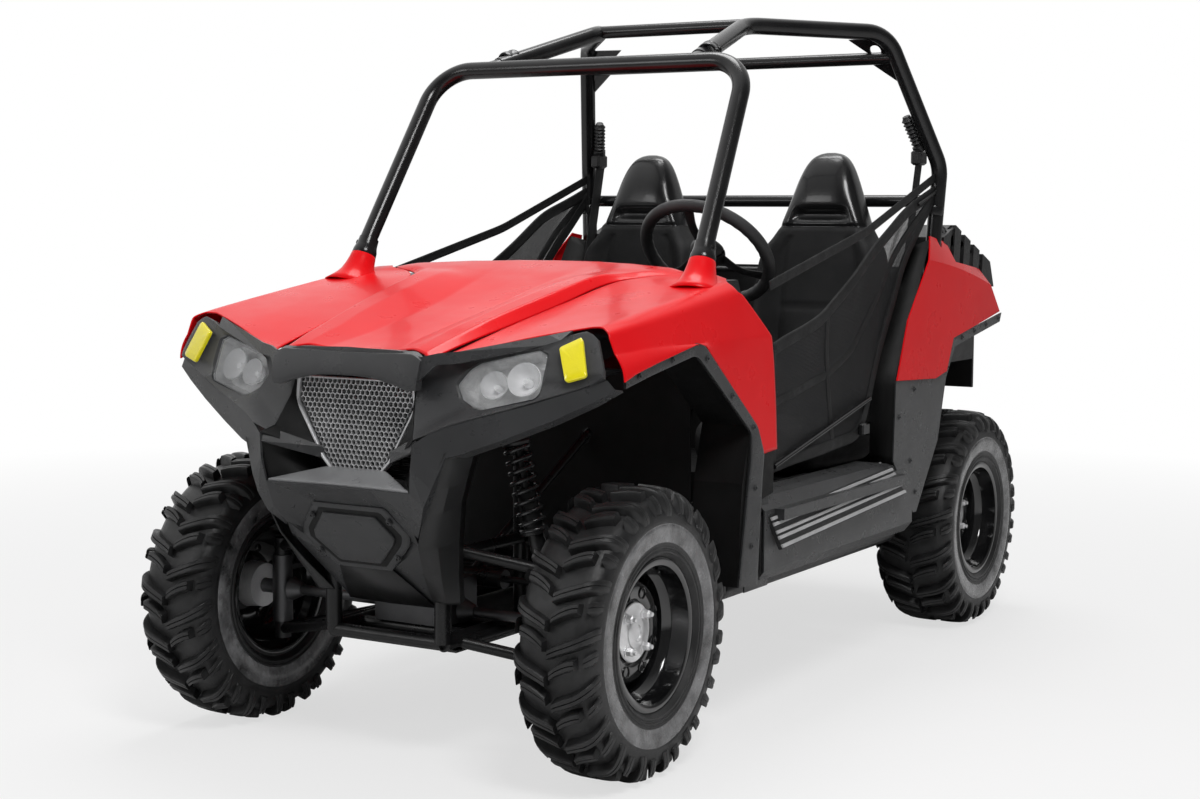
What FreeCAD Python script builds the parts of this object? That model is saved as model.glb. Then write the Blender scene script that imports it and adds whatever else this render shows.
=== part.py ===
"""A side by side utility vehicle, modelled in millimetres.

The front faces -Y, the left side is +X and the ground is at Z = 0.
"""
import FreeCAD
import Part
import Sketcher
import math
import os

from FreeCAD import Vector

DIMENSIONS = {
    "Stance": (
        ("overall_length", 2615.5),
        ("overall_width", 1260.0),
        ("overall_height", 1730.0),
        ("wheelbase", 1956.0),
        ("front_half_track", 514.5),
        ("rear_half_track", 495.0),
    ),
    "Tyres and rims": (
        ("tyre_radius", 317.5),
        ("front_tyre_width", 192.0),
        ("rear_tyre_width", 232.0),
        ("tyre_lug_height", 20.0),
        ("rim_radius", 152.4),
        ("rim_flange_height", 14.0),
        ("rim_wall", 3.0),
        ("front_rim_half_width", 80.0),
        ("rear_rim_half_width", 100.0),
        ("rim_disc_set", 20.0),
        ("rim_disc_wall", 4.0),
        ("rim_dish_depth", 30.0),
        ("hub_bore_radius", 55.0),
        ("hub_plate_radius", 65.0),
        ("hub_plate_wall", 6.0),
        ("hub_cap_radius", 34.0),
        ("hub_cap_height", 14.0),
        ("seat_gap", 0.3),
        ("pin_gap", 0.4),
        ("cut_over", 5.0),
    ),
    "Steering and suspension": (
        ("kingpin_inset", 84.5),
        ("ball_joint_rise", 100.0),
        ("knuckle_half_width", 24.0),
        ("stub_radius", 17.0),
        ("hub_radius", 42.0),
        ("hub_thickness", 14.0),
        ("arm_radius", 13.0),
        ("arm_spread", 125.0),
        ("arm_root_lift", 60.0),
        ("arm_eye_radius", 19.0),
        ("arm_eye_height", 40.0),
        ("shock_set_back", 62.0),
        ("shock_foot_x", 330.0),
        ("shock_head_x", 268.0),
        ("shock_body_radius", 21.0),
        ("shock_rod_radius", 8.0),
        ("spring_radius", 33.0),
        ("shaft_radius", 12.0),
        ("boot_radius", 33.0),
        ("boot_length", 62.0),
        ("steer_arm_reach", 88.0),
        ("steer_arm_width", 26.0),
        ("steer_arm_height", 12.0),
        ("steer_arm_lift", 54.0),
        ("tie_rod_radius", 8.0),
        ("rack_radius", 22.0),
        ("rack_half_length", 150.0),
        ("steering_wheel_radius", 168.0),
        ("steering_grip_radius", 14.0),
        ("steering_wheel_x", 270.0),
        ("steering_wheel_back", 828.0),
        ("steering_wheel_z", 1112.0),
        ("column_angle", 43.0),
        ("column_radius", 19.0),
        ("column_length", 330.0),
    ),
    "Frame": (
        ("rail_radius", 19.0),
        ("brace_radius", 15.0),
        ("rail_x", 150.0),
        ("rail_z", 276.0),
        ("rail_bend", 70.0),
        ("side_rail_x", 500.0),
        ("side_rail_z", 324.0),
        ("pillar_bar_back", 345.0),
        ("deck_x", 240.0),
        ("deck_front", 262.0),
        ("deck_rear", 205.0),
        ("side_rail_front", 432.0),
        ("side_rail_rear", 425.0),
        ("front_tower_z", 790.0),
        ("rear_deck_z", 752.0),
        ("tower_half_length", 155.0),
        ("rail_tail", 235.0),
        ("rail_rise", 120.0),
        ("foot_plate", 6.0),
        ("foot_plate_half", 34.0),
    ),
    "Roll cage": (
        ("cage_radius", 22.0),
        ("cage_bend", 105.0),
        ("hoop_foot_x", 495.0),
        ("hoop_foot_back", 323.0),
        ("hoop_foot_z", 1000.0),
        ("hoop_head_x", 452.0),
        ("hoop_head_back", 684.0),
        ("hoop_head_z", 1580.0),
        ("roof_tube_x", 303.0),
        ("roof_joint_x", 222.0),
        ("roof_joint_back", 1118.0),
        ("roof_fall", 2.0),
        ("rear_leg_head_x", 478.0),
        ("rear_leg_head_back", 1468.0),
        ("rear_leg_kink_x", 574.0),
        ("rear_leg_kink_back", 1638.0),
        ("rear_leg_kink_z", 1345.0),
        ("rear_leg_foot_x", 552.0),
        ("rear_leg_foot_back", 1618.0),
        ("rear_leg_foot_z", 1010.0),
        ("cage_brace_radius", 17.0),
        ("brace_bar_z", 1640.0),
        ("belt_bar_z", 1251.0),
        ("gusset_wall", 5.0),
        ("gusset_length", 95.0),
    ),
    "Cab": (
        ("panel_wall", 4.0),
        ("net_front_back", 606.0),
        ("floor_half_width", 466.0),
        ("floor_z", 345.0),
        ("toe_back", 384.0),
        ("toe_top_z", 640.0),
        ("firewall_back", 372.0),
        ("firewall_z", 930.0),
        ("seat_riser_back", 1020.0),
        ("seat_deck_z", 520.0),
        ("bulkhead_back", 1500.0),
        ("bulkhead_top_back", 1590.0),
        ("bulkhead_z", 960.0),
        ("tunnel_half_width", 110.0),
        ("tunnel_z", 500.0),
        ("tunnel_taper", 16.0),
        ("dash_front_back", 425.0),
        ("dash_rear_back", 640.0),
        ("dash_top_z", 1054.0),
        ("dash_bottom_z", 850.0),
        ("dash_half_width", 470.0),
        ("skid_wall", 5.0),
        ("skid_z", 256.7),
        ("skid_half_width", 165.0),
        ("toe_rise", 46.0),
        ("sill_drop", 26.0),
        ("arch_front_z", 872.0),
        ("arch_crown_back", 165.0),
        ("arch_crown_z", 935.0),
        ("arch_knee_back", 455.0),
        ("arch_knee_z", 727.0),
        ("arch_flare", 22.0),
        ("fender_foot_back", 490.0),
        ("fender_foot_z", 662.0),
        ("fender_rear_back", 568.0),
        ("sill_top_z", 548.0),
        ("sill_bottom_z", 352.0),
        ("sill_front", 490.0),
        ("sill_rear", 1400.0),
        ("sill_inner_x", 486.0),
        ("step_wall", 26.0),
    ),
    "Body panels": (
        ("hood_wall", 4.0),
        ("hood_length", 839.0),
        ("hood_front_ahead", 276.0),
        ("hood_half_width", 430.0),
        ("hood_front_z", 907.0),
        ("hood_rise", 190.0),
        ("fender_length", 830.0),
        ("fender_front_ahead", 228.0),
        ("fender_top_z", 1050.0),
        ("boss_radius", 38.0),
        ("boss_height", 62.0),
        ("rear_fender_wall", 4.0),
        ("bed_half_width", 470.0),
        ("bed_front_back", 1650.0),
        ("bed_length", 560.0),
        ("bed_floor_z", 800.0),
        ("bed_top_z", 1050.0),
        ("bed_wall", 6.0),
    ),
    "Seats": (
        ("seat_x", 290.0),
        ("seat_half_width", 188.0),
        ("cushion_front_back", 1030.0),
        ("cushion_rear_back", 1420.0),
        ("cushion_top_z", 660.0),
        ("seat_top_z", 1385.0),
        ("seat_top_back", 1534.0),
        ("seat_thickness", 110.0),
    ),
    "Power unit and tail": (
        ("engine_half_width", 165.0),
        ("engine_front_back", 1662.0),
        ("engine_length", 214.0),
        ("engine_height", 390.0),
        ("gearcase_half_width", 95.0),
        ("gearcase_half_length", 110.0),
        ("gearcase_height", 150.0),
        ("muffler_radius", 82.0),
        ("muffler_half_length", 215.0),
        ("muffler_back", 190.0),
        ("muffler_z", 585.0),
        ("receiver_width", 63.5),
        ("receiver_bore", 51.0),
        ("receiver_length", 130.0),
        ("receiver_pin_radius", 8.0),
        ("bumper_tube_radius", 15.0),
    ),
    "Nose": (
        ("nose_half_width", 600.0),
        ("nose_height", 900.0),
        ("bumper_wall", 5.0),
        ("grille_wall", 12.0),
        ("grille_cell", 26.0),
        ("lens_wall", 6.0),
        ("lamp_depth", 55.0),
    ),
}

PARTS = []
document = FreeCAD.newDocument("side_by_side_utv")
sheet = document.addObject("Spreadsheet::Sheet", "Dims")


def text_of(value):
    """The sheet expression of a size, or the number itself."""
    if isinstance(value, Size):
        return value.text
    return repr(float(value))


class Size(float):
    """A length that also carries the sheet expression it follows."""

    def __new__(cls, value, text):
        made = super().__new__(cls, value)
        made.text = text
        return made

    def __add__(self, other):
        return Size(float(self) + float(other), f"({self.text} + {text_of(other)})")

    def __radd__(self, other):
        return Size(float(other) + float(self), f"({text_of(other)} + {self.text})")

    def __sub__(self, other):
        return Size(float(self) - float(other), f"({self.text} - {text_of(other)})")

    def __rsub__(self, other):
        return Size(float(other) - float(self), f"({text_of(other)} - {self.text})")

    def __mul__(self, other):
        return Size(float(self) * float(other), f"({self.text} * {text_of(other)})")

    __rmul__ = __mul__

    def __neg__(self):
        return Size(-float(self), f"(-{self.text})")


PEG_TIP_SHARE = 0.1


class Sizes:
    """Every alias of the sheet as an attribute."""


def fill_sheet():
    """Writes the named dimensions into the sheet and gives them back as sizes."""
    sizes = Sizes()
    row = 0
    for heading, entries in DIMENSIONS.items():
        row += 1
        sheet.set(f"A{row}", heading)
        for alias, value in entries:
            row += 1
            sheet.set(f"A{row}", alias.replace("_", " "))
            sheet.set(f"B{row}", str(value))
            sheet.setAlias(f"B{row}", alias)
            setattr(sizes, alias, Size(value, f"Dims.{alias}"))
    document.recompute()
    return sizes


D = fill_sheet()
D.nose_overhang = D.overall_length - D.wheelbase - D.tyre_radius
D.body_half_width = D.overall_width * 0.5 - D.step_wall
D.roof_joint_z = D.overall_height - D.cage_radius
D.rear_leg_head_z = D.roof_joint_z - D.roof_fall
FRONT_AXLE = (D.nose_overhang - D.wheelbase - D.tyre_radius) * 0.5
REAR_AXLE = FRONT_AXLE + D.wheelbase


def keep(item, label):
    """Registers a finished sub-part under its label."""
    item.Label = label
    PARTS.append(item)
    return item


def feature(label, shape):
    """A sub-part whose shape is worked out in code."""
    item = document.addObject("Part::Feature", label)
    item.Shape = shape
    return keep(item, label)


def sketch(body, plane, outline, offset=None):
    """A closed straight-edged outline on one of the body's own origin planes."""
    count = len(outline)
    made = body.newObject("Sketcher::SketchObject", body.Name + "_outline")
    origin_plane = next(item for item in body.Origin.OriginFeatures if item.Role == plane)
    made.AttachmentSupport = [(origin_plane, "")]
    made.MapMode = "FlatFace"
    if offset is not None:
        made.AttachmentOffset = FreeCAD.Placement(Vector(0, 0, float(offset)), FreeCAD.Rotation())
        made.setExpression("AttachmentOffset.Base.z", text_of(offset))
    for index in range(count):
        start = Vector(float(outline[index][0]), float(outline[index][1]), 0)
        following = outline[(index + 1) % count]
        end = Vector(float(following[0]), float(following[1]), 0)
        made.addGeometry(Part.LineSegment(start, end), False)
    for index in range(count):
        made.addConstraint(Sketcher.Constraint("Coincident", index, 2, (index + 1) % count, 1))
    for index, place in enumerate(outline):
        for kind, length in zip(("DistanceX", "DistanceY"), place):
            row = made.addConstraint(Sketcher.Constraint(kind, -1, 1, index, 1, float(length)))
            made.setExpression(f"Constraints[{row}]", text_of(length))
    return made


def pad(body, plane, outline, length, offset=None, midplane=False):
    """Adds a prism on a sketch."""
    made = body.newObject("PartDesign::Pad", body.Name + "_pad")
    made.Profile = sketch(body, plane, outline, offset)
    made.setExpression("Length", text_of(length))
    made.Midplane = midplane
    document.recompute()
    return made


def pocket(body, plane, outline, length, offset=None, midplane=True):
    """Cuts a prism on a sketch."""
    made = body.newObject("PartDesign::Pocket", body.Name + "_pocket")
    made.Profile = sketch(body, plane, outline, offset)
    made.setExpression("Length", text_of(length))
    made.Midplane = midplane
    document.recompute()
    return made


def new_body(label):
    """An empty body for a sub-part."""
    body = document.addObject("PartDesign::Body", label)
    return keep(body, label)


def tube(points, radius, bend):
    """A round tube along straight runs joined by tangent arcs."""
    edges = []
    start = points[0]
    for before, corner, after in zip(points, points[1:], points[2:]):
        back = before - corner
        ahead = after - corner
        turn = math.pi - back.getAngle(ahead)
        reach = min(bend * math.tan(turn / 2), min(back.Length, ahead.Length) * 0.48)
        arc_radius = reach / math.tan(turn / 2)
        back.normalize()
        ahead.normalize()
        middle = (back + ahead).normalize()
        enter = corner + back * reach
        leave = corner + ahead * reach
        crown = corner + middle * (arc_radius / math.cos(turn / 2) - arc_radius)
        edges.append(Part.makeLine(start, enter))
        edges.append(Part.Arc(enter, crown, leave).toShape())
        start = leave
    edges.append(Part.makeLine(start, points[-1]))
    path = Part.Wire(edges)
    ring = Part.Wire(Part.makeCircle(radius, points[0], points[1] - points[0]))
    return path.makePipeShell([ring], True, False)


def rod(start, end, radius):
    """A straight round bar between two points."""
    return Part.makeCylinder(radius, (end - start).Length, start, end - start)


def mirror(shape):
    """The other side's copy of a shape."""
    return shape.mirror(Vector(0, 0, 0), Vector(1, 0, 0))


def both_sides(shapes):
    """Shapes and their mirrored copies."""
    return list(shapes) + [mirror(item) for item in shapes]


def fused(shapes):
    """One shape from touching shapes, joined one after the other."""
    made = shapes[0]
    for item in shapes[1:]:
        made = made.fuse(item)
    return made


def apart(shapes):
    """Solids of one node that don't touch."""
    return Part.makeCompound(shapes)


def peg(start, way, carrier, radius):
    """A fixing peg from inside a piece to just short of the piece that carries it."""
    unit = Vector(way).normalize()
    met = Part.makeLine(start, start + unit * D.wheelbase).common(carrier)
    length = min((point.Point - start).Length for point in met.Vertexes) - D.seat_gap
    neck = start + unit * (length - radius * 2)
    tip = Part.makeCone(radius, radius * PEG_TIP_SHARE, radius * 2, neck, unit)
    return rod(start, neck, radius).fuse(tip)


def largest(shape):
    """The largest solid of a shape."""
    return max(shape.Solids, key=lambda solid: solid.Volume)


def fitted(shape, carrier):
    """The largest part of a shape that is left beside a carrier with the seating gap."""
    gap = D.seat_gap
    for way in ((0, 0, 0), (gap, 0, 0), (-gap, 0, 0), (0, gap, 0), (0, -gap, 0), (0, 0, gap), (0, 0, -gap)):
        shape = shape.cut(carrier.translated(Vector(*way)))
    return largest(shape)


def box(low, high):
    """A box between two corners."""
    size = high - low
    return Part.makeBox(size.x, size.y, size.z, low)


def polygon(points):
    """A closed wire through the points."""
    return Part.makePolygon(list(points) + [points[0]])


def prism(points, way):
    """A flat outline pushed along a vector."""
    return Part.Face(polygon(points)).extrude(way)


def offset_line(line, gap):
    """An open outline in one plane moved to its left by the gap, with mitred corners."""
    normals = []
    for (u0, v0), (u1, v1) in zip(line, line[1:]):
        length = math.hypot(u1 - u0, v1 - v0)
        normals.append(((v0 - v1) / length, (u1 - u0) / length))
    moved = []
    for index, (u, v) in enumerate(line):
        first = normals[max(index - 1, 0)]
        second = normals[min(index, len(normals) - 1)]
        scale = gap / (1 + first[0] * second[0] + first[1] * second[1])
        moved.append((u + (first[0] + second[0]) * scale, v + (first[1] + second[1]) * scale))
    return moved


def ribbon(line, gap):
    """The closed outline of a wall along an open outline."""
    return list(line) + offset_line(line, gap)[::-1]


def shell_loft(stations, gap, ruled=False):
    """A wall of one thickness through open XZ outlines at stations along Y."""
    wires = []
    for y, line in stations:
        wires.append(polygon([Vector(u, y, v) for u, v in ribbon(line, gap)]))
    return Part.makeLoft(wires, True, ruled)


def sunk_grid(rows, gap):
    """A grid of points moved along its normals."""
    high = len(rows)
    wide = len(rows[0])
    sunk = []
    for i in range(high):
        line = []
        for j in range(wide):
            across = rows[i][min(j + 1, wide - 1)] - rows[i][max(j - 1, 0)]
            along = rows[min(i + 1, high - 1)][j] - rows[max(i - 1, 0)][j]
            line.append(rows[i][j] + across.cross(along).normalize() * gap)
        sunk.append(line)
    return sunk


def skin_between(rows, inner):
    """A solid between two grids of points, flat from point to point."""
    faces = []

    def triangle(a, b, c):
        """A flat face that looks the way its corners turn."""
        face = Part.Face(polygon([a, b, c]))
        if face.normalAt(0, 0).dot((b - a).cross(c - a)) < 0:
            face.reverse()
        faces.append(face)

    def strip(first, second, back):
        """Two triangles between each pair of points along two lines, seen from the front or the back."""
        for a, b, c, d in zip(first, first[1:], second[1:], second):
            if back:
                triangle(a, c, b)
                triangle(a, d, c)
            else:
                triangle(a, b, c)
                triangle(a, c, d)

    for k in range(len(rows) - 1):
        strip(rows[k], rows[k + 1], False)
        strip(inner[k], inner[k + 1], True)
    strip(rows[0], inner[0], True)
    strip(rows[-1], inner[-1], False)
    strip([row[0] for row in rows], [row[0] for row in inner], False)
    strip([row[-1] for row in rows], [row[-1] for row in inner], True)
    solid = Part.Solid(Part.makeShell(faces))
    if solid.Volume < 0:
        solid.reverse()
    return solid


def facet_skin(rows, gap):
    """A wall through a grid of points, thickened along its normals."""
    return skin_between(rows, sunk_grid(rows, gap))


def behind_front(distance):
    """A place along Y measured back from the front axle."""
    return FRONT_AXLE + distance


def side_outline(shares):
    """A side outline, back from the front axle by height, from shares of wheelbase and fender height."""
    return [(back * D.wheelbase, z * D.fender_top_z) for back, z in shares]


def nose_point(shares):
    """A point of the nose from its shares of half width, overhang and height."""
    return Vector(
        shares[0] * D.nose_half_width,
        FRONT_AXLE - shares[1] * D.nose_overhang,
        shares[2] * D.nose_height,
    )


# Wheels

def wheel_sketch(body, outline):
    """A half section of a wheel, axial by radial."""
    return sketch(body, "XY_Plane", outline)


def revolve(body, outline):
    """Turns a half section about the wheel's axle."""
    made = body.newObject("PartDesign::Revolution", body.Name + "_turned")
    made.Profile = wheel_sketch(body, outline)
    made.ReferenceAxis = (made.Profile[0], ["H_Axis"])
    made.Angle = 360.0
    document.recompute()
    return made


def stand(body, x, y, right):
    """Places a wheel piece at its axle."""
    spin = FreeCAD.Rotation(Vector(0, 0, 1), 180.0 if right else 0.0)
    body.Placement = FreeCAD.Placement(Vector(x, y, D.tyre_radius), spin)
    body.setExpression("Placement.Base.x", text_of(x))
    body.setExpression("Placement.Base.y", text_of(y))
    body.setExpression("Placement.Base.z", text_of(D.tyre_radius))


TYRE_FACETS = 22
LUG_PITCHES = 17
CARCASS_SHARES = ((0.965, 0.50), (0.80, 0.93))
LUG_TOP_SHARES = ((0.05, 0.9928), (0.80, 0.985), (0.995, 0.83))
LUG_FOOT_SHARES = ((0.05, 0.88), (0.80, 0.82), (0.995, 0.76))
LUG_LEAD_SHARES = (0.085, -0.025, -0.070)
LUG_HALF_SHARES = (0.034, 0.042, 0.048)


def wheel_point(along, radius, angle):
    """A point of a wheel about its own centre, its axle along X."""
    return Vector(along, radius * math.cos(angle), radius * math.sin(angle))


def carcass(half, bead):
    """A faceted tyre body below its lugs, down to the rim."""
    grow = 1 / math.cos(math.pi / TYRE_FACETS)
    lip = (D.rim_radius + D.rim_flange_height + D.seat_gap) * grow
    outer = [(bead, (D.rim_radius + D.seat_gap) * grow), (bead, lip)]
    wall = D.tyre_radius * LUG_TOP_SHARES[0][1] - D.tyre_lug_height - lip
    outer += [(half * a, lip + wall * r) for a, r in CARCASS_SHARES]
    outline = outer + [(-a, r) for a, r in outer[::-1]]
    rings = []
    for index in range(TYRE_FACETS):
        angle = 2 * math.pi * index / TYRE_FACETS
        rings.append([wheel_point(a, r, angle) for a, r in outline])
    faces = []
    for index in range(TYRE_FACETS):
        here = rings[index]
        following = rings[(index + 1) % TYRE_FACETS]
        for k in range(len(outline)):
            far = (k + 1) % len(outline)
            faces.append(Part.Face(polygon([here[k], here[far], following[far], following[k]])))
    solid = Part.Solid(Part.makeShell(faces))
    if solid.Volume < 0:
        solid.reverse()
    return solid


def lug(half, side, angle):
    """One hooked lug, a ridge that leads at the tyre's centre and runs out over the shoulder."""
    up = wheel_point(0, D.tyre_radius, angle)
    along = wheel_point(0, D.tyre_radius, angle + math.pi / 2)
    grids = ([], [])
    for k, lead in enumerate(LUG_LEAD_SHARES):
        for rows, shares in zip(grids, (LUG_TOP_SHARES, LUG_FOOT_SHARES)):
            out, rise = shares[k]
            place = Vector(side * half * out, 0, 0) + up * rise
            rows.append([place + along * (lead + way * LUG_HALF_SHARES[k]) for way in (-side, side)])
    return skin_between(*grids).removeSplitter()


def tyre_pair(end, x, y, width, rim_half_width):
    """A lugged tyre and its mirrored twin on one axle."""
    half = width * 0.5
    made = carcass(half, rim_half_width - D.rim_wall - D.seat_gap)
    ridges = []
    for index in range(LUG_PITCHES):
        for side, shift in ((1, 0.41), (-1, 0.91)):
            ridges.append(lug(half, side, 2 * math.pi * (index + shift) / LUG_PITCHES))
    made = made.fuse(ridges)
    made.translate(Vector(x, y, D.tyre_radius))
    feature(f"tyre_{end}_left", made)
    feature(f"tyre_{end}_right", mirror(made))


DISC_RING_SHARE = 0.70
DISC_WELL_SHARE = 0.86


def rim(label, x, y, half_width, right):
    """A stamped steel rim with its disc, hub and cap."""
    body = new_body(label)
    outer = D.rim_radius
    inner = D.rim_radius - D.rim_wall
    flange = D.rim_radius + D.rim_flange_height
    revolve(body, [
        (-half_width, inner),
        (half_width, inner),
        (half_width, flange),
        (half_width - D.rim_wall, flange),
        (half_width - D.rim_wall, outer),
        (D.rim_wall - half_width, outer),
        (D.rim_wall - half_width, flange),
        (-half_width, flange),
    ])
    face = D.rim_disc_set
    deep = D.rim_disc_set - D.rim_dish_depth
    wall = D.rim_disc_wall
    revolve(body, [
        (face - D.hub_thickness, D.stub_radius + D.seat_gap),
        (face - D.hub_thickness, D.hub_bore_radius),
        (face - wall, D.hub_bore_radius),
        (face - wall, D.rim_radius * DISC_RING_SHARE),
        (deep - wall, D.rim_radius * DISC_WELL_SHARE),
        (deep - wall, inner + D.rim_wall * 0.5),
        (deep, inner + D.rim_wall * 0.5),
        (deep, D.rim_radius * DISC_WELL_SHARE + wall),
        (face, D.rim_radius * DISC_RING_SHARE + wall),
        (face, D.hub_plate_radius),
        (face + D.hub_plate_wall, D.hub_plate_radius),
        (face + D.hub_plate_wall, D.hub_cap_radius),
        (face + D.hub_cap_height, D.hub_cap_radius - wall),
        (face + D.hub_cap_height, D.stub_radius + D.seat_gap),
    ])
    stand(body, x, y, right)
    return body


for wheel_end, wheel_x, wheel_y, tyre_wide, rim_half in (
    ("front", D.front_half_track, FRONT_AXLE, D.front_tyre_width, D.front_rim_half_width),
    ("rear", D.rear_half_track, REAR_AXLE, D.rear_tyre_width, D.rear_rim_half_width),
):
    tyre_pair(wheel_end, wheel_x, wheel_y, tyre_wide, rim_half)
    rim(f"rim_{wheel_end}_left", wheel_x, wheel_y, rim_half, False)
    rim(f"rim_{wheel_end}_right", -wheel_x, wheel_y, rim_half, True)


# Uprights, arms, shocks and shafts

def upright(axle_x, axle_y):
    """A wheel carrier between the ball joints, with its stub axle."""
    x = axle_x - D.kingpin_inset
    reach = D.ball_joint_rise - D.arm_eye_height * 0.5 - D.pin_gap
    barrel = Part.makeCylinder(D.knuckle_half_width, 2 * reach, Vector(x, axle_y, D.tyre_radius - reach))
    stub_end = axle_x + D.rim_disc_set + D.hub_cap_height * 0.5
    stub = rod(Vector(x, axle_y, D.tyre_radius), Vector(stub_end, axle_y, D.tyre_radius), D.stub_radius)
    flange_end = axle_x + D.rim_disc_set - D.hub_thickness - D.pin_gap
    flange = rod(
        Vector(flange_end - D.hub_thickness, axle_y, D.tyre_radius),
        Vector(flange_end, axle_y, D.tyre_radius),
        D.hub_radius,
    )
    return [barrel, stub, flange]


def steering_knuckle():
    """The left front carrier with its steering arm."""
    x = D.front_half_track - D.kingpin_inset
    low = D.tyre_radius + D.steer_arm_lift - D.steer_arm_height
    half = D.steer_arm_width * 0.5
    arm = box(
        Vector(x - D.knuckle_half_width + half * 0.5, FRONT_AXLE, low),
        Vector(
            x - D.knuckle_half_width + half * 2.5,
            FRONT_AXLE + D.steer_arm_reach,
            low + D.steer_arm_height,
        ),
    )
    eye = Part.makeCylinder(
        half,
        D.steer_arm_height,
        Vector(x - D.knuckle_half_width + half * 1.5, FRONT_AXLE + D.steer_arm_reach, low),
    )
    return fused(upright(D.front_half_track, FRONT_AXLE) + [arm, eye])


left_knuckle = steering_knuckle()
feature("knuckle_left", left_knuckle)
feature("knuckle_right", mirror(left_knuckle))
TIE_ROD_X = D.front_half_track - D.kingpin_inset - D.knuckle_half_width + D.steer_arm_width * 0.75
TIE_ROD_Z = D.tyre_radius + D.steer_arm_lift + D.pin_gap + D.tie_rod_radius
RACK_Y = FRONT_AXLE + D.steer_arm_reach
ARM_ROOT_X = D.rail_x + D.rail_radius + D.arm_radius + D.seat_gap


def arm_pair(axle_x, axle_y):
    """The upper and lower wishbones of one wheel."""
    made = []
    for rise in (-D.ball_joint_rise, D.ball_joint_rise):
        eye_z = D.tyre_radius + rise
        x = axle_x - D.kingpin_inset
        eye = Part.makeCylinder(
            D.arm_eye_radius, D.arm_eye_height, Vector(x, axle_y, eye_z - D.arm_eye_height * 0.5)
        )
        front_root = Vector(ARM_ROOT_X, axle_y - D.arm_spread, eye_z + D.arm_root_lift)
        rear_root = Vector(ARM_ROOT_X, axle_y + D.arm_spread, eye_z + D.arm_root_lift)
        tip = Vector(x, axle_y, eye_z)
        made.append(fused([
            eye,
            rod(front_root, tip, D.arm_radius),
            rod(rear_root, tip, D.arm_radius),
            rod(front_root, rear_root, D.arm_radius),
        ]))
    return made


def shock(axle_x, axle_y, deck_z):
    """A coil-over strut from the upper wishbone to the cross tube above it."""
    tip = Vector(axle_x - D.kingpin_inset, axle_y, D.tyre_radius + D.ball_joint_rise)
    root = Vector(ARM_ROOT_X, axle_y - D.arm_spread, tip.z + D.arm_root_lift)
    share = (D.shock_foot_x - root.x) / (tip.x - root.x)
    on_arm = root + (tip - root) * share
    along = (tip - root).normalize()
    up = (Vector(0, 0, 1) - along * along.z).normalize()
    eye_radius = D.arm_radius
    foot = on_arm + up * (D.arm_radius + eye_radius + D.seat_gap)
    head_z = deck_z - D.brace_radius - eye_radius - D.seat_gap
    head = Vector(D.shock_head_x, axle_y - D.shock_set_back, head_z)
    run = head - foot
    pieces = [
        Part.makeSphere(eye_radius, foot),
        Part.makeSphere(eye_radius, head),
        rod(foot, foot + run * SHOCK_SHARES[0], D.shock_body_radius * 0.8),
        rod(foot + run * SHOCK_SHARES[0], foot + run * SHOCK_SHARES[1], D.spring_radius),
        rod(foot + run * SHOCK_SHARES[1], head, D.shock_rod_radius),
    ]
    return fused(pieces)


SHOCK_SHARES = (0.18, 0.86)


def drive(axle_x, axle_y):
    """A gearcase with its two half shafts and boots."""
    low = D.rail_z + D.brace_radius + D.seat_gap
    case = box(
        Vector(-D.gearcase_half_width, axle_y - GEARCASE_REAR_SHARE * D.gearcase_half_length, low),
        Vector(
            D.gearcase_half_width,
            axle_y + GEARCASE_FRONT_SHARE * D.gearcase_half_length,
            low + D.gearcase_height * GEARCASE_HEIGHT_SHARE,
        ),
    )
    end = axle_x - D.kingpin_inset - D.knuckle_half_width - D.pin_gap * 2
    z = D.tyre_radius
    half = [
        rod(Vector(0, axle_y, z), Vector(end, axle_y, z), D.shaft_radius),
        Part.makeCone(
            D.boot_radius * BOOT_SHARE,
            D.shaft_radius * 1.2,
            D.rail_x - D.rail_radius - D.gearcase_half_width,
            Vector(D.gearcase_half_width, axle_y, z),
            Vector(1, 0, 0),
        ),
        Part.makeCone(
            D.shaft_radius * 1.2,
            D.boot_radius * BOOT_SHARE,
            D.boot_length * 0.5,
            Vector(end - D.boot_length * 0.62, axle_y, z),
            Vector(1, 0, 0),
        ),
    ]
    return fused([case] + both_sides(half))


GEARCASE_REAR_SHARE = 0.7
GEARCASE_FRONT_SHARE = 0.5
GEARCASE_HEIGHT_SHARE = 0.66
BOOT_SHARE = 0.85

feature("front_arms", apart(both_sides(arm_pair(D.front_half_track, FRONT_AXLE))))
feature("rear_arms", apart(both_sides(arm_pair(D.rear_half_track, REAR_AXLE))))
feature("rear_carriers", apart(both_sides([fused(upright(D.rear_half_track, REAR_AXLE))])))
front_shock = shock(D.front_half_track, FRONT_AXLE, D.front_tower_z)
rear_shock = shock(D.rear_half_track, REAR_AXLE, D.rear_deck_z)
feature("shocks", apart(both_sides([front_shock, rear_shock])))
feature("front_drive", drive(D.front_half_track, FRONT_AXLE))
feature("rear_drive", drive(D.rear_half_track, REAR_AXLE))


# Steering

tie_rod_eye = Part.makeCylinder(
    D.steer_arm_width * 0.5,
    2 * D.tie_rod_radius,
    Vector(TIE_ROD_X, RACK_Y, TIE_ROD_Z - D.tie_rod_radius),
)
tie_bar = rod(Vector(-TIE_ROD_X, RACK_Y, TIE_ROD_Z), Vector(TIE_ROD_X, RACK_Y, TIE_ROD_Z), D.tie_rod_radius)
feature("tie_rods", fused([tie_bar] + both_sides([tie_rod_eye])))

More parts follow.
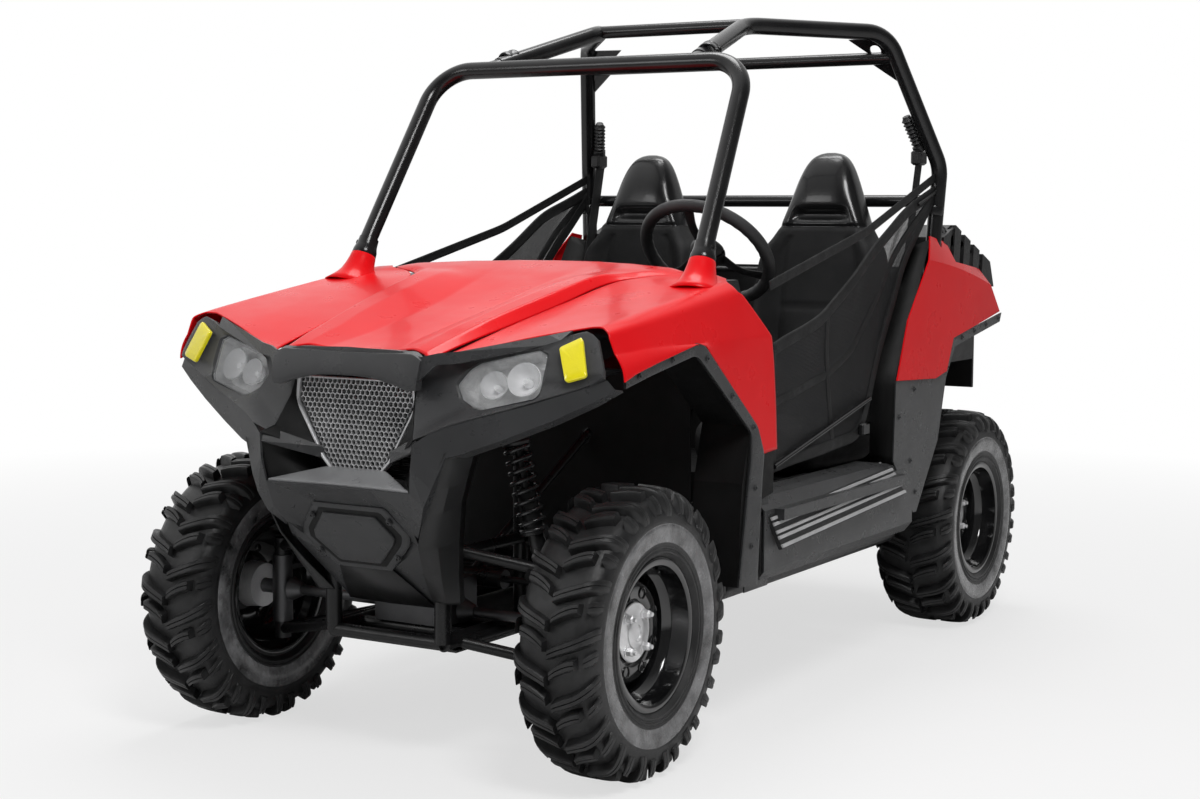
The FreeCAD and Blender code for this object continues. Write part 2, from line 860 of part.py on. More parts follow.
COLUMN_TOP = Vector(D.steering_wheel_x, behind_front(D.steering_wheel_back), D.steering_wheel_z)
COLUMN_WAY = Vector(0, math.cos(math.radians(D.column_angle)), math.sin(math.radians(D.column_angle)))
COLUMN_TILT = FreeCAD.Rotation(Vector(1, 0, 0), D.column_angle - 90.0)
HUB_HALF = D.steering_grip_radius
COLUMN_HEAD = COLUMN_TOP - COLUMN_WAY * (HUB_HALF + D.pin_gap)
COLUMN_FOOT = COLUMN_TOP - COLUMN_WAY * D.column_length
PINION = Vector(D.rail_x * 0.4, RACK_Y, TIE_ROD_Z + D.rack_radius * 0.5)


def steering_wheel():
    """The steering wheel about its own centre, then laid on the column."""
    grip = Part.makeTorus(D.steering_wheel_radius, D.steering_grip_radius)
    hub = Part.makeCylinder(D.rack_radius * 1.6, 2 * HUB_HALF, Vector(0, 0, -HUB_HALF))
    spokes = []
    for angle in (90.0, 210.0, 330.0):
        way = Vector(math.cos(math.radians(angle)), math.sin(math.radians(angle)), 0)
        spokes.append(rod(Vector(0, 0, 0), way * D.steering_wheel_radius, D.steering_grip_radius * 0.6))
    made = fused([grip, hub] + spokes)
    made.Placement = FreeCAD.Placement(COLUMN_TOP, COLUMN_TILT)
    return made


feature("steering_wheel", steering_wheel())
rack = rod(
    Vector(-D.rack_half_length, RACK_Y, TIE_ROD_Z),
    Vector(D.rack_half_length, RACK_Y, TIE_ROD_Z),
    D.rack_radius,
)
rack_brackets = [
    box(
        Vector(x - D.brace_radius, RACK_Y, TIE_ROD_Z - D.brace_radius * 0.5),
        Vector(
            x + D.brace_radius,
            FRONT_AXLE + D.tower_half_length - D.brace_radius - D.seat_gap,
            TIE_ROD_Z + D.brace_radius * 0.5,
        ),
    )
    for x in (-D.rail_x * 0.66, D.rail_x * 0.66)
]
rack_bore = rod(
    Vector(-D.rack_half_length - D.cut_over, RACK_Y, TIE_ROD_Z),
    Vector(D.rack_half_length + D.cut_over, RACK_Y, TIE_ROD_Z),
    D.tie_rod_radius + D.seat_gap,
)
column = [rod(COLUMN_FOOT, COLUMN_HEAD, D.column_radius), rod(PINION, COLUMN_FOOT, D.column_radius * 0.5)]
feature("steering_column", fused([rack] + rack_brackets + column).cut(rack_bore))
column_clearance = rod(PINION, COLUMN_FOOT, D.column_radius * 0.5 + D.cut_over)
column_seat = rod(COLUMN_FOOT, COLUMN_TOP, D.column_radius + D.seat_gap)


# Frame

def level(x, y, z):
    """A point from its sizes."""
    return Vector(x, y, z)


def across(crossings, radius):
    """Level cross tubes from their places along Y, heights and reaches to each side."""
    return [rod(level(-x, y, z), level(x, y, z), radius) for y, z, x in crossings]


def main_frame(grow):
    """Rails, side rails and pillar risers of the welded frame, with their tubes grown by a gap."""
    front = FRONT_AXLE
    rear = REAR_AXLE
    low = D.rail_z
    radius = D.rail_radius + grow
    left = [
        tube([
            level(D.rail_x, front - D.tower_half_length, low),
            level(D.rail_x, rear + D.rail_tail * 0.5, low),
            level(D.rail_x, rear + D.rail_tail, low + D.rail_rise),
        ], radius, D.rail_bend),
        tube([
            level(D.rail_x, front + D.toe_back - D.rail_bend, low),
            level(D.side_rail_x, front + D.side_rail_front, D.side_rail_z),
            level(D.side_rail_x, rear - D.side_rail_rear, D.side_rail_z),
            level(D.rail_x, rear - D.side_rail_rear + D.rail_bend, low),
        ], radius, D.rail_bend),
        tube([
            level(D.side_rail_x, front + D.side_rail_front + RISER_SET, D.side_rail_z),
            level(D.side_rail_x, front + D.side_rail_front + RISER_SET, D.front_tower_z + D.rail_bend),
            HOOP_FOOT - Vector(0, 0, D.foot_plate + D.rail_radius * 0.5),
        ], radius, D.rail_bend),
        Part.makeCylinder(
            D.foot_plate_half, D.foot_plate, HOOP_FOOT - Vector(0, 0, D.foot_plate + D.seat_gap)
        ),
        tube([
            level(D.side_rail_x, rear - D.side_rail_rear, D.side_rail_z),
            level(D.side_rail_x, rear - D.side_rail_rear + D.rail_bend * 0.5, D.front_tower_z),
            LEG_FOOT - Vector(0, 0, D.foot_plate + D.rail_radius * 0.2),
        ], radius, D.rail_bend),
        Part.makeCylinder(
            D.foot_plate_half, D.foot_plate, LEG_FOOT - Vector(0, 0, D.foot_plate + D.seat_gap)
        ),
    ]
    bars = across((
        (front - D.tower_half_length, low, D.rail_x),
        (front + D.gearcase_half_length * 0.3, low, D.rail_x),
        (front - D.gearcase_half_length * 0.5, low, D.rail_x),
        (front + D.side_rail_front, D.floor_z - D.brace_radius - D.seat_gap, D.side_rail_x),
        (rear - D.gearcase_half_length * 0.5, low, D.rail_x),
        (rear + D.gearcase_half_length * 0.3, low, D.rail_x),
        (rear - D.side_rail_rear, D.side_rail_z, D.side_rail_x),
        (front + D.pillar_bar_back, D.firewall_z, D.side_rail_x),
        (rear + D.rail_tail, low + D.rail_rise, D.rail_x),
    ), D.brace_radius + grow)
    return fused(both_sides(left) + bars)


def front_tower():
    """The two front loops with the cross tubes that carry the front shocks and the nose."""
    front = FRONT_AXLE
    tower = D.tower_half_length
    low = D.rail_z
    left = [
        tube([
            level(D.rail_x, front - tower, low),
            level(D.rail_x, front - tower, D.front_tower_z),
            level(D.rail_x, front + tower, D.front_tower_z),
            level(D.hoop_foot_x, front + D.pillar_bar_back, D.firewall_z),
        ], D.rail_radius, D.rail_bend),
        rod(
            level(D.rail_x, front + tower, low),
            level(D.rail_x, front + tower, D.front_tower_z),
            D.rail_radius,
        ),
    ]
    bars = across((
        (front - D.shock_set_back, D.front_tower_z, D.shock_head_x + D.rail_radius),
        (front + tower, TIE_ROD_Z, D.rail_x),
        (front - tower, D.front_tower_z, D.rail_x),
    ), D.brace_radius)
    return largest(fused(both_sides(left) + bars).cut(frame_room))


def rear_deck():
    """The two rear loops with the cross tubes that carry the rear shocks and the bed."""
    rear = REAR_AXLE
    low = D.rail_z
    left = [
        tube([
            level(D.deck_x, rear - D.deck_front, low),
            level(D.deck_x, rear - D.deck_front, D.rear_deck_z),
            level(D.deck_x, rear + D.deck_rear, D.rear_deck_z),
            level(D.deck_x, rear + D.deck_rear, D.rear_deck_z - D.engine_height),
            level(D.rail_x, rear + D.deck_rear, low + D.rail_rise * 0.7),
        ], D.rail_radius, D.rail_bend),
    ]
    bars = across((
        (rear - D.deck_front, low, D.deck_x),
        (rear + D.deck_rear, D.rear_deck_z, D.deck_x),
        (rear - D.deck_front, D.rear_deck_z, D.side_rail_x + D.rail_radius),
        (rear - D.shock_set_back, D.rear_deck_z, D.shock_head_x + D.rail_radius),
    ), D.brace_radius)
    return largest(fused(both_sides(left) + bars).cut(frame_room))


RISER_SET = D.rail_radius * 1.5
HOOP_HEAD = level(D.hoop_head_x, behind_front(D.hoop_head_back), D.hoop_head_z)
HOOP_FOOT = level(D.hoop_foot_x, behind_front(D.hoop_foot_back), D.hoop_foot_z)
LEG_FOOT = level(D.rear_leg_foot_x, behind_front(D.rear_leg_foot_back), D.rear_leg_foot_z)
rail_frame = main_frame(0)
frame_room = main_frame(D.seat_gap)
frame_shape = Part.makeCompound([rail_frame, front_tower(), rear_deck()])
for frame_label, frame_solid in zip(("main_frame", "front_tower", "rear_deck"), frame_shape.Solids):
    feature(frame_label, frame_solid)


# Roll cage

def flat_foot(shape, z):
    """Cuts a tube level at the height of its foot plate."""
    reach = D.wheelbase
    return shape.cut(box(Vector(-reach, -reach, z - reach), Vector(reach, reach, z)))


def other_side(place):
    """The mirrored point."""
    return Vector(-place.x, place.y, place.z)


def front_hoop():
    """The two front pillars and the header in one bent tube."""
    lower = HOOP_FOOT + (HOOP_FOOT - HOOP_HEAD).normalize() * D.boss_height
    route = [lower, HOOP_HEAD, other_side(HOOP_HEAD), other_side(lower)]
    return flat_foot(tube(route, D.cage_radius, D.cage_bend), D.hoop_foot_z)


ROOF_FRONT = Vector(D.roof_tube_x, HOOP_HEAD.y, HOOP_HEAD.z)
ROOF_JOINT = level(D.roof_joint_x, behind_front(D.roof_joint_back), D.roof_joint_z)
LEG_HEAD = level(D.rear_leg_head_x, behind_front(D.rear_leg_head_back), D.rear_leg_head_z)
LEG_KINK = level(D.rear_leg_kink_x, behind_front(D.rear_leg_kink_back), D.rear_leg_kink_z)


def rear_cage():
    """The rear legs with the roof tubes they run into, and their cross bars."""
    way = (ROOF_JOINT - ROOF_FRONT).normalize()
    start = ROOF_FRONT + way * (D.cage_radius * 2 + D.seat_gap)
    sweep = [start, ROOF_JOINT, LEG_HEAD, LEG_KINK, LEG_FOOT]
    leg = tube(sweep, D.cage_radius, D.cage_bend)
    low = LEG_FOOT.z
    leg_line = sweep[:-1] + [LEG_FOOT - Vector(0, 0, D.boss_height)]
    leg = flat_foot(tube(leg_line, D.cage_radius, D.cage_bend), low)
    drop = (LEG_HEAD.z - D.brace_bar_z) / (LEG_HEAD.z - LEG_KINK.z)
    brace = LEG_HEAD + (LEG_KINK - LEG_HEAD) * drop
    drop = (LEG_KINK.z - D.belt_bar_z) / (LEG_KINK.z - LEG_FOOT.z)
    belt = LEG_KINK + (LEG_FOOT - LEG_KINK) * drop
    bars = [
        rod(other_side(ROOF_JOINT), ROOF_JOINT, D.cage_brace_radius),
        rod(other_side(brace), brace, D.cage_brace_radius),
        rod(other_side(belt), belt, D.cage_brace_radius),
    ]
    inboard = brace - Vector(D.gusset_length, 0, 0)
    below = brace + (LEG_KINK - LEG_HEAD).normalize() * D.gusset_length
    gusset = prism([brace, inboard, below], Vector(0, D.gusset_wall, 0))
    return fused(both_sides([leg, gusset]) + bars)


def header_clamp():
    """A coupler that joins a roof tube to the header."""
    way = (ROOF_JOINT - ROOF_FRONT).normalize()
    coupler = rod(ROOF_FRONT, ROOF_FRONT + way * (D.cage_radius * 2), D.cage_radius * 0.9)
    header = rod(other_side(HOOP_HEAD), HOOP_HEAD, D.cage_radius + D.seat_gap)
    return coupler.cut(header)


feature("front_hoop", fused([front_hoop()]))
feature("rear_cage", rear_cage())
feature("header_clamps", apart(both_sides([header_clamp()])))


# Cab

def yz_prism(low_x, high_x, outline):
    """A side outline, places back from the front axle by heights, pushed across."""
    wire = [Vector(low_x, FRONT_AXLE + back, z) for back, z in outline]
    return prism(wire, Vector(high_x - low_x, 0, 0))


def floor_tub():
    """Firewall, floor, seat riser, deck and bulkhead in one folded sheet with its tunnel."""
    wall = D.panel_wall
    half = D.floor_half_width
    line = [
        (D.firewall_back, D.firewall_z),
        (D.toe_back, D.toe_top_z),
        (D.toe_back, D.floor_z + D.toe_rise),
        (D.toe_back + D.toe_rise, D.floor_z),
        (D.seat_riser_back, D.floor_z),
        (D.seat_riser_back, D.seat_deck_z),
        (D.bulkhead_back, D.seat_deck_z),
        (D.bulkhead_top_back, D.bulkhead_z),
    ]
    sheet_part = yz_prism(-half, half, ribbon(line, wall))
    cheek = yz_prism(half - wall, half, [
        (D.toe_back + wall * 0.5, D.sill_top_z - wall),
        (D.toe_back + wall * 0.5, D.floor_z + D.toe_rise),
        (D.toe_back + D.toe_rise, D.floor_z + wall * 0.5),
        (D.seat_riser_back, D.floor_z + wall * 0.5),
        (D.seat_riser_back, D.sill_top_z - wall),
    ])
    top = D.tunnel_half_width - D.tunnel_taper
    hat = ribbon([
        (D.tunnel_half_width, D.floor_z + wall * 0.5),
        (top, D.tunnel_z),
        (-top, D.tunnel_z),
        (-D.tunnel_half_width, D.floor_z + wall * 0.5),
    ], wall)
    start = FRONT_AXLE + D.toe_back + wall * 0.5
    length = D.seat_riser_back - D.toe_back
    tunnel = prism([Vector(x, start, z) for x, z in hat], Vector(0, length, 0))
    made = fused([sheet_part, tunnel] + both_sides([cheek]))
    return made.cut(column_clearance)


feature("floor_tub", floor_tub())


def skid_plate():
    """The belly sheet, narrow between the wheels and wide below the cab."""
    body = new_body("skid_plate")
    wall = D.skid_wall
    nose = FRONT_AXLE - D.tower_half_length + D.rail_radius * 1.5
    tail = REAR_AXLE + D.rail_tail * 0.6
    rise = D.skid_z + D.rail_rise * 0.5
    line = [
        (nose, D.skid_z - wall),
        (tail, D.skid_z - wall),
        (tail + D.rail_rise, rise),
        (tail + D.rail_rise, rise + wall * 1.5),
        (tail - wall * 0.5, D.skid_z),
        (nose, D.skid_z),
    ]
    pad(body, "YZ_Plane", line, D.skid_half_width * 2, midplane=True)
    return body


skid_plate()


def dash_panel():
    """The dash moulding with the steering column's seat cut through it."""
    body = document.addObject("PartDesign::Body", "dash_body")
    front = FRONT_AXLE + D.dash_front_back
    rear = FRONT_AXLE + D.dash_rear_back
    depth = D.dash_rear_back - D.dash_front_back
    pad(body, "YZ_Plane", [
        (front + depth * DASH_SHARES[0], D.dash_bottom_z),
        (front, D.dash_bottom_z + depth * DASH_SHARES[1]),
        (front + depth * DASH_SHARES[2], D.dash_top_z),
        (rear - depth * DASH_SHARES[3], D.dash_top_z),
        (rear, D.dash_top_z - depth * DASH_SHARES[4]),
        (rear - depth * DASH_SHARES[5], D.dash_bottom_z),
    ], D.dash_half_width * 2, midplane=True)
    return feature("dash", body.Shape.cut(column_seat).cut(column_clearance))


DASH_SHARES = (0.25, 0.2, 0.05, 0.15, 0.30, 0.2)
dash_panel()


def rocker():
    """The left sill moulding, a C section open towards the frame."""
    section = ribbon([
        (D.sill_inner_x, D.sill_top_z),
        (D.body_half_width * SILL_SHARES[0], D.sill_top_z),
        (D.body_half_width, D.sill_top_z - D.sill_drop),
        (D.body_half_width, D.sill_bottom_z + D.sill_drop),
        (D.body_half_width * SILL_SHARES[1], D.sill_bottom_z),
        (D.side_rail_x + D.rail_radius * 1.3, D.sill_bottom_z),
    ], -D.panel_wall)
    start = FRONT_AXLE + D.sill_front + D.panel_wall
    made = prism([Vector(x, start, z) for x, z in section], Vector(0, D.sill_rear - D.sill_front, 0))
    lip = box(
        Vector(
            D.body_half_width - D.panel_wall * 0.5,
            start + D.step_wall * 2,
            D.sill_top_z - D.sill_drop * 2,
        ),
        Vector(
            D.body_half_width + D.step_wall,
            start + D.sill_rear - D.sill_front - D.step_wall * 4,
            D.sill_top_z - D.sill_drop,
        ),
    )
    corner = prism([
        Vector(-D.wheelbase, start + D.sill_rear - D.sill_front - D.step_wall * 5, D.sill_top_z + D.cut_over),
        Vector(-D.wheelbase, start + D.sill_rear, D.sill_top_z + D.cut_over),
        Vector(-D.wheelbase, start + D.sill_rear, D.sill_bottom_z),
    ], Vector(2 * D.wheelbase, 0, 0))
    outer = fused([made, lip]).cut(corner)
    edge = D.side_rail_x + D.rail_radius * 1.3 + D.panel_wall
    for back in (D.step_wall * 4, D.sill_rear - D.sill_front - D.step_wall * 8):
        place = Vector(edge, start + back, D.sill_bottom_z + D.panel_wall * 0.5)
        centre = Vector(D.side_rail_x, place.y, D.side_rail_z)
        outer = outer.fuse(peg(place, centre - place, frame_shape, D.panel_wall * 0.5))
    return outer


SILL_SHARES = (0.955, 0.965)
left_rocker = rocker()
feature("rockers", apart(both_sides([left_rocker])))


# Body panels

def hood_station(y_share, half_line):
    """A cross section of the hood from shares of its length, width and rise."""
    y = FRONT_AXLE - D.hood_front_ahead + D.hood_length * y_share
    left = [(x * D.hood_half_width, D.hood_front_z + z * D.hood_rise) for x, z in half_line]
    return y, [(-u, v) for u, v in left[::-1]] + left


HOOD_SHARES = (
    (0.0000, ((0.209, 0.037), (0.326, 0.042), (0.419, 0.026), (0.474, -0.005))),
    (0.0644, ((0.209, 0.089), (0.349, 0.121), (0.442, 0.116), (0.491, 0.074))),
    (0.1836, ((0.186, 0.189), (0.349, 0.263), (0.465, 0.263), (0.521, 0.205))),
    (0.3051, ((0.186, 0.300), (0.384, 0.405), (0.493, 0.405), (0.549, 0.321))),
    (0.5054, ((0.198, 0.489), (0.419, 0.621), (0.549, 0.621), (0.598, 0.526))),
    (0.6985, ((0.233, 0.711), (0.453, 0.811), (0.593, 0.821), (0.644, 0.737))),
    (0.7950, ((0.256, 0.811), (0.488, 0.868), (0.674, 0.868), (0.760, 0.816))),
    (0.8617, ((0.272, 0.879), (0.535, 0.921), (0.837, 0.921), (0.979, 0.884))),
    (1.0000, ((0.272, 0.995), (0.535, 1.005), (0.837, 0.995), (0.979, 0.974))),
)
HOOD_PLAN_SHARES = (
    (-0.002, 0.0346), (0.302, 0.0346), (0.400, 0.0167), (0.474, -0.0072), (1.023, -0.0072),
    (1.023, 0.8558), (0.979, 0.8617), (0.272, 0.9845), (-0.002, 0.9940),
)
hood_skin = shell_loft([hood_station(y, line) for y, line in HOOD_SHARES], -D.hood_wall)
hood_outline = [
    Vector(x * D.hood_half_width, FRONT_AXLE - D.hood_front_ahead + y * D.hood_length, 0)
    for x, y in HOOD_PLAN_SHARES
]
hood_plan = prism(hood_outline, Vector(0, 0, D.wheelbase))
hood_skin = hood_skin.common(hood_plan.fuse(mirror(hood_plan)))
feature("hood", hood_skin)

FENDER_SHARES = (
    (0.0000, (
        (0.374, 0.8743), (0.629, 0.8981), (0.877, 0.9162), (0.921, 0.9086), (0.947, 0.8810), (0.960, 0.8000),
    )),
    (0.1277, (
        (0.389, 0.8990), (0.646, 0.9200), (0.894, 0.9343), (0.937, 0.9257), (0.967, 0.8810), (0.980, 0.5714),
    )),
    (0.2506, (
        (0.407, 0.9229), (0.662, 0.9390), (0.902, 0.9495), (0.947, 0.9390), (0.980, 0.8857), (0.990, 0.5333),
    )),
    (0.4530, (
        (0.445, 0.9610), (0.679, 0.9695), (0.907, 0.9733), (0.954, 0.9600), (0.990, 0.8857), (1.000, 0.5333),
    )),
    (0.6482, (
        (0.482, 0.9981), (0.695, 0.9990), (0.911, 0.9952), (0.957, 0.9810), (0.993, 0.8857), (1.000, 0.5333),
    )),
    (0.7458, (
        (0.566, 1.0133), (0.728, 1.0114), (0.914, 1.0057), (0.960, 0.9905), (0.993, 0.8857), (1.000, 0.5333),
    )),
    (0.8133, (
        (0.720, 1.0257), (0.795, 1.0229), (0.914, 1.0114), (0.960, 0.9943), (0.993, 0.8857), (1.000, 0.5333),
    )),
    (1.0000, (
        (0.721, 1.0400), (0.795, 1.0362), (0.914, 1.0190), (0.960, 1.0000), (0.993, 0.8857), (1.000, 0.5333),
    )),
)
FENDER_SWEEP_SHARES = (
    (0.3675, 0.7661), (0.4371, 0.7193), (0.7152, 0.4678),
    (0.8245, 0.3684), (0.9023, 0.4152), (0.9768, 0.5029),
    (1.1, 0.503), (1.1, -2.0), (0.3675, -2.0),
)


def front_fender():
    """The left front fender with its wheel arch and pillar boss."""
    stations = []
    for y_share, line in FENDER_SHARES:
        y = FRONT_AXLE - D.fender_front_ahead + D.fender_length * y_share
        stations.append((y, [(x * D.body_half_width, z * D.fender_top_z) for x, z in line]))
    skin = shell_loft(stations, -D.hood_wall)
    top = D.fender_top_z + D.boss_height
    trim = yz_prism(0, D.wheelbase, [
        (-D.fender_front_ahead + D.hood_wall, top),
        (-D.fender_front_ahead + D.hood_wall, D.arch_front_z),
        (D.arch_crown_back, D.arch_crown_z),
        (D.arch_knee_back, D.arch_knee_z),
        (D.fender_foot_back, D.fender_foot_z),
        (D.fender_rear_back, D.fender_foot_z),
        (D.fender_rear_back, D.arch_front_z),
        (D.hoop_foot_back + D.foot_plate_half, D.fender_top_z + D.foot_plate),
        (D.hoop_foot_back + D.foot_plate_half, top),
    ])
    sweep = [
        Vector(x * D.body_half_width, FRONT_AXLE - y * D.nose_overhang, 0) for x, y in FENDER_SWEEP_SHARES
    ]
    plan = prism(sweep, Vector(0, 0, D.wheelbase))
    way = (HOOP_HEAD - HOOP_FOOT).normalize()
    base = HOOP_FOOT + way * ((D.fender_top_z - D.hood_wall * 2 - HOOP_FOOT.z) / way.z)
    boss = Part.makeCone(D.boss_radius * 1.25, D.cage_radius * 1.3, D.boss_height, base, way)
    bore = rod(HOOP_FOOT - way * D.boss_height, base + way * D.boss_height * 2, D.cage_radius + D.seat_gap)
    return fused([skin.common(trim).common(plan), boss]).cut(bore)


left_fender = front_fender()
feature("front_fender_left", left_fender)
feature("front_fender_right", mirror(left_fender))


def arch_liner():
    """The black inner arch, its side cheek and the lip that edges the fender, left side."""
    wall = D.panel_wall
    gap = D.hood_wall + D.seat_gap
    line = [
        (-D.fender_front_ahead * 0.34, D.arch_front_z + D.hood_wall * 3),
        (D.arch_crown_back, D.arch_crown_z - wall * 2),
        (D.arch_knee_back - D.arch_flare, D.arch_knee_z),
        (D.firewall_back + D.arch_flare, D.toe_top_z - D.arch_flare * 2),
        (D.firewall_back, D.sill_bottom_z + wall * 2),
    ]
    hood_part = yz_prism(D.floor_half_width + wall, D.body_half_width - gap * 2, ribbon(line, wall))
    cheek = yz_prism(D.body_half_width - gap * 2 - wall, D.body_half_width - gap * 2, [
        line[-1],
        line[-2],
        line[-3],
        (D.fender_rear_back - wall * 3, D.fender_foot_z + D.arch_flare),
        (D.fender_rear_back - wall * 3, D.sill_top_z + D.arch_flare * 0.5),
        (D.sill_front, D.sill_top_z),
        (D.sill_front, D.sill_bottom_z + wall * 2),
    ])
    peg_start = Vector(
        D.body_half_width * LINER_PEG_SHARE, FRONT_AXLE + D.arch_crown_back, D.arch_crown_z - wall * 1.5
    )
    rim_line = [
        [
            Vector(x * D.body_half_width, FRONT_AXLE + back * D.wheelbase, z * D.fender_top_z)
            for x, back, z in row
        ]
        for row in ARCH_LIP_SHARES
    ]
    lip = facet_skin(rim_line, D.panel_wall)
    return fused([hood_part, cheek, lip, peg(peg_start, Vector(0, 0, 1), left_fender, D.panel_wall)])


LINER_PEG_SHARE = 0.85
ARCH_LIP_SHARES = (
    ((0.9719, -0.0562, 0.8390), (0.9801, -0.0112, 0.8552), (0.9934, 0.0844, 0.8857),
     (0.9967, 0.2311, 0.6886), (0.9967, 0.2490, 0.6257), (0.9967, 0.2336, 0.3371)),
    ((0.9685, -0.0542, 0.8143), (0.9768, -0.0112, 0.8305), (0.9868, 0.0808, 0.8619),
     (0.9884, 0.2173, 0.6781), (0.9884, 0.2137, 0.6095), (0.9884, 0.1892, 0.3438)),
)
left_liner = arch_liner()
feature("arch_liners", apart(both_sides([left_liner])))

REAR_FENDER_SHARES = (
    (0.6391, ((0.995, 0.60), (1.0, 0.75), (1.0, 1.05), (0.985, 1.13))),
    (0.8487, ((0.995, 0.60), (1.0, 0.75), (1.0, 1.02), (0.955, 1.085))),
    (1.0941, ((0.96, 0.60), (0.975, 0.75), (0.975, 0.93), (0.90, 1.00))),
)
REAR_FENDER_OUTLINE_SHARES = (
    (0.6564, 0.7352), (0.7975, 0.7238), (0.8410, 0.7381), (0.8666, 0.8248), (1.0787, 0.8810),
    (1.0020, 1.0057), (0.8793, 1.0286), (0.8640, 1.0905), (0.7970, 1.1048), (0.6902, 0.8857),
)


def leg_room(gap):
    """The space that the cage leg and its pillar need."""
    below = LEG_FOOT - Vector(0, 0, D.fender_top_z)
    return tube([LEG_HEAD, LEG_KINK, LEG_FOOT, below], D.cage_radius + gap, D.cage_bend)


def rear_fender():
    """The left rear fender, cut to its side outline."""
    stations = []
    for back, line in REAR_FENDER_SHARES:
        points = [(x * D.body_half_width, z * D.fender_top_z) for x, z in line]
        stations.append((FRONT_AXLE + back * D.wheelbase, points))
    skin = shell_loft(stations, D.rear_fender_wall)
    trim = yz_prism(D.side_rail_x, D.wheelbase, side_outline(REAR_FENDER_OUTLINE_SHARES))
    return skin.common(trim).cut(leg_room(D.cut_over))


left_rear_fender = rear_fender()
feature("rear_fender_left", left_rear_fender)
feature("rear_fender_right", mirror(left_rear_fender))


TRIM_OUTLINE_SHARES = (
    (0.6544, 0.5295), (0.6595, 0.7333), (0.7975, 0.7224), (0.8415, 0.7367), (0.8676, 0.8229),
    (1.0757, 0.8776), (1.0685, 0.8524), (0.8804, 0.8000), (0.8461, 0.7190), (0.8180, 0.5562),
    (0.7413, 0.3810), (0.7301, 0.3810),
)
TRIM_INSET_SHARE = 0.99


def rear_trim():
    """The black pillar trim and arch strip below the left rear fender."""
    outer = D.body_half_width * TRIM_INSET_SHARE
    return yz_prism(outer - D.panel_wall, outer, side_outline(TRIM_OUTLINE_SHARES))


left_trim = fitted(fitted(rear_trim(), left_rocker), left_rear_fender)
feature("rear_trims", apart(both_sides([left_trim])))


VENT_OUTLINE_SHARES = (
    (0.8528, 0.9524), (0.8528, 1.0952), (0.8998, 1.1276), (1.0481, 1.0238), (1.0660, 0.9524),
)
VENT_SLOT_SHARES = ((0.8742, 0.9905), (0.8896, 0.9905), (0.8998, 1.1429), (0.8845, 1.1429))
VENT_SLOTS = 4
VENT_PITCH_SHARE = 0.0409


def rear_vent():
    """The left louvred intake beside the bed."""
    outer = D.body_half_width - D.step_wall
    shell = yz_prism(D.bed_half_width + D.seat_gap, outer, side_outline(VENT_OUTLINE_SHARES))
    slots = []
    for index in range(VENT_SLOTS):
        outline = side_outline([(back + index * VENT_PITCH_SHARE, z) for back, z in VENT_SLOT_SHARES])
        slots.append(yz_prism(outer - D.step_wall * 0.6, D.body_half_width, outline))
    return fitted(shell.cut(slots).cut(leg_room(D.cut_over)), left_rear_fender)


left_vent = rear_vent()
feature("rear_vents", apart(both_sides([left_vent])))


def cargo_bed():
    """The open box behind the seats."""
    body = new_body("cargo_bed")
    front = FRONT_AXLE + D.bed_front_back
    rear = front + D.bed_length
    half = D.bed_half_width
    low = D.rear_deck_z + D.rail_radius + D.seat_gap
    outline = [(-half, front), (half, front), (half, rear), (-half, rear)]
    pad(body, "XY_Plane", outline, D.bed_top_z - low, low)
    wall = D.bed_wall
    cut = pocket(
        body,
        "XY_Plane",
        [
            (wall - half, front + wall),
            (half - wall, front + wall),
            (half - wall, rear - wall),
            (wall - half, rear - wall),
        ],
        D.bed_top_z - low - wall + D.cut_over,
        low + wall,
        midplane=False,
    )
    cut.Reversed = True
    document.recompute()
    return body


cargo_bed()


# Seats

def seat(label, right):
    """A high-backed bucket seat with its narrow head."""
    body = new_body(label)
    front = FRONT_AXLE
    pad(body, "YZ_Plane", [
        (front + D.cushion_front_back, D.seat_deck_z + D.panel_wall + D.seat_gap),
        (front + D.bulkhead_back - D.seat_thickness * 0.34, D.seat_deck_z + D.panel_wall + D.seat_gap),
        (front + D.bulkhead_top_back - D.seat_thickness * 0.34, D.bulkhead_z),
        (front + D.bulkhead_top_back - D.seat_thickness * 0.1, D.belt_bar_z),
        (front + D.seat_top_back + D.seat_thickness * 0.2, D.seat_top_z),
        (front + D.seat_top_back - D.seat_thickness * 0.2, D.seat_top_z),
        (front + D.seat_top_back - D.seat_thickness * 0.7, D.belt_bar_z),
        (front + D.cushion_rear_back, D.cushion_top_z),
        (front + D.cushion_front_back, D.cushion_top_z + D.seat_thickness * 0.2),
    ], D.seat_half_width * 2, midplane=True)
    half = D.seat_half_width
    over = half + D.cut_over
    for sign in (1, -1):
        pocket(body, "XZ_Plane", [
            (half * sign, D.bulkhead_z),
            (half * SEAT_SHARES[0] * sign, D.belt_bar_z - D.seat_thickness),
            (half * SEAT_SHARES[1] * sign, D.belt_bar_z - D.seat_thickness * 0.3),
            (half * SEAT_SHARES[2] * sign, D.seat_top_z - D.seat_thickness * 0.4),
            (half * SEAT_SHARES[3] * sign, D.seat_top_z + D.cut_over),
            (over * sign, D.seat_top_z + D.cut_over),
            (over * sign, D.bulkhead_z),
        ], D.wheelbase * 2)
    side_x = -D.seat_x if right else D.seat_x
    body.Placement = FreeCAD.Placement(Vector(side_x, 0, 0), FreeCAD.Rotation())
    body.setExpression("Placement.Base.x", text_of(side_x))
    return body


SEAT_SHARES = (0.92, 0.50, 0.42, 0.26)
seat("seat_left", False)
seat("seat_right", True)


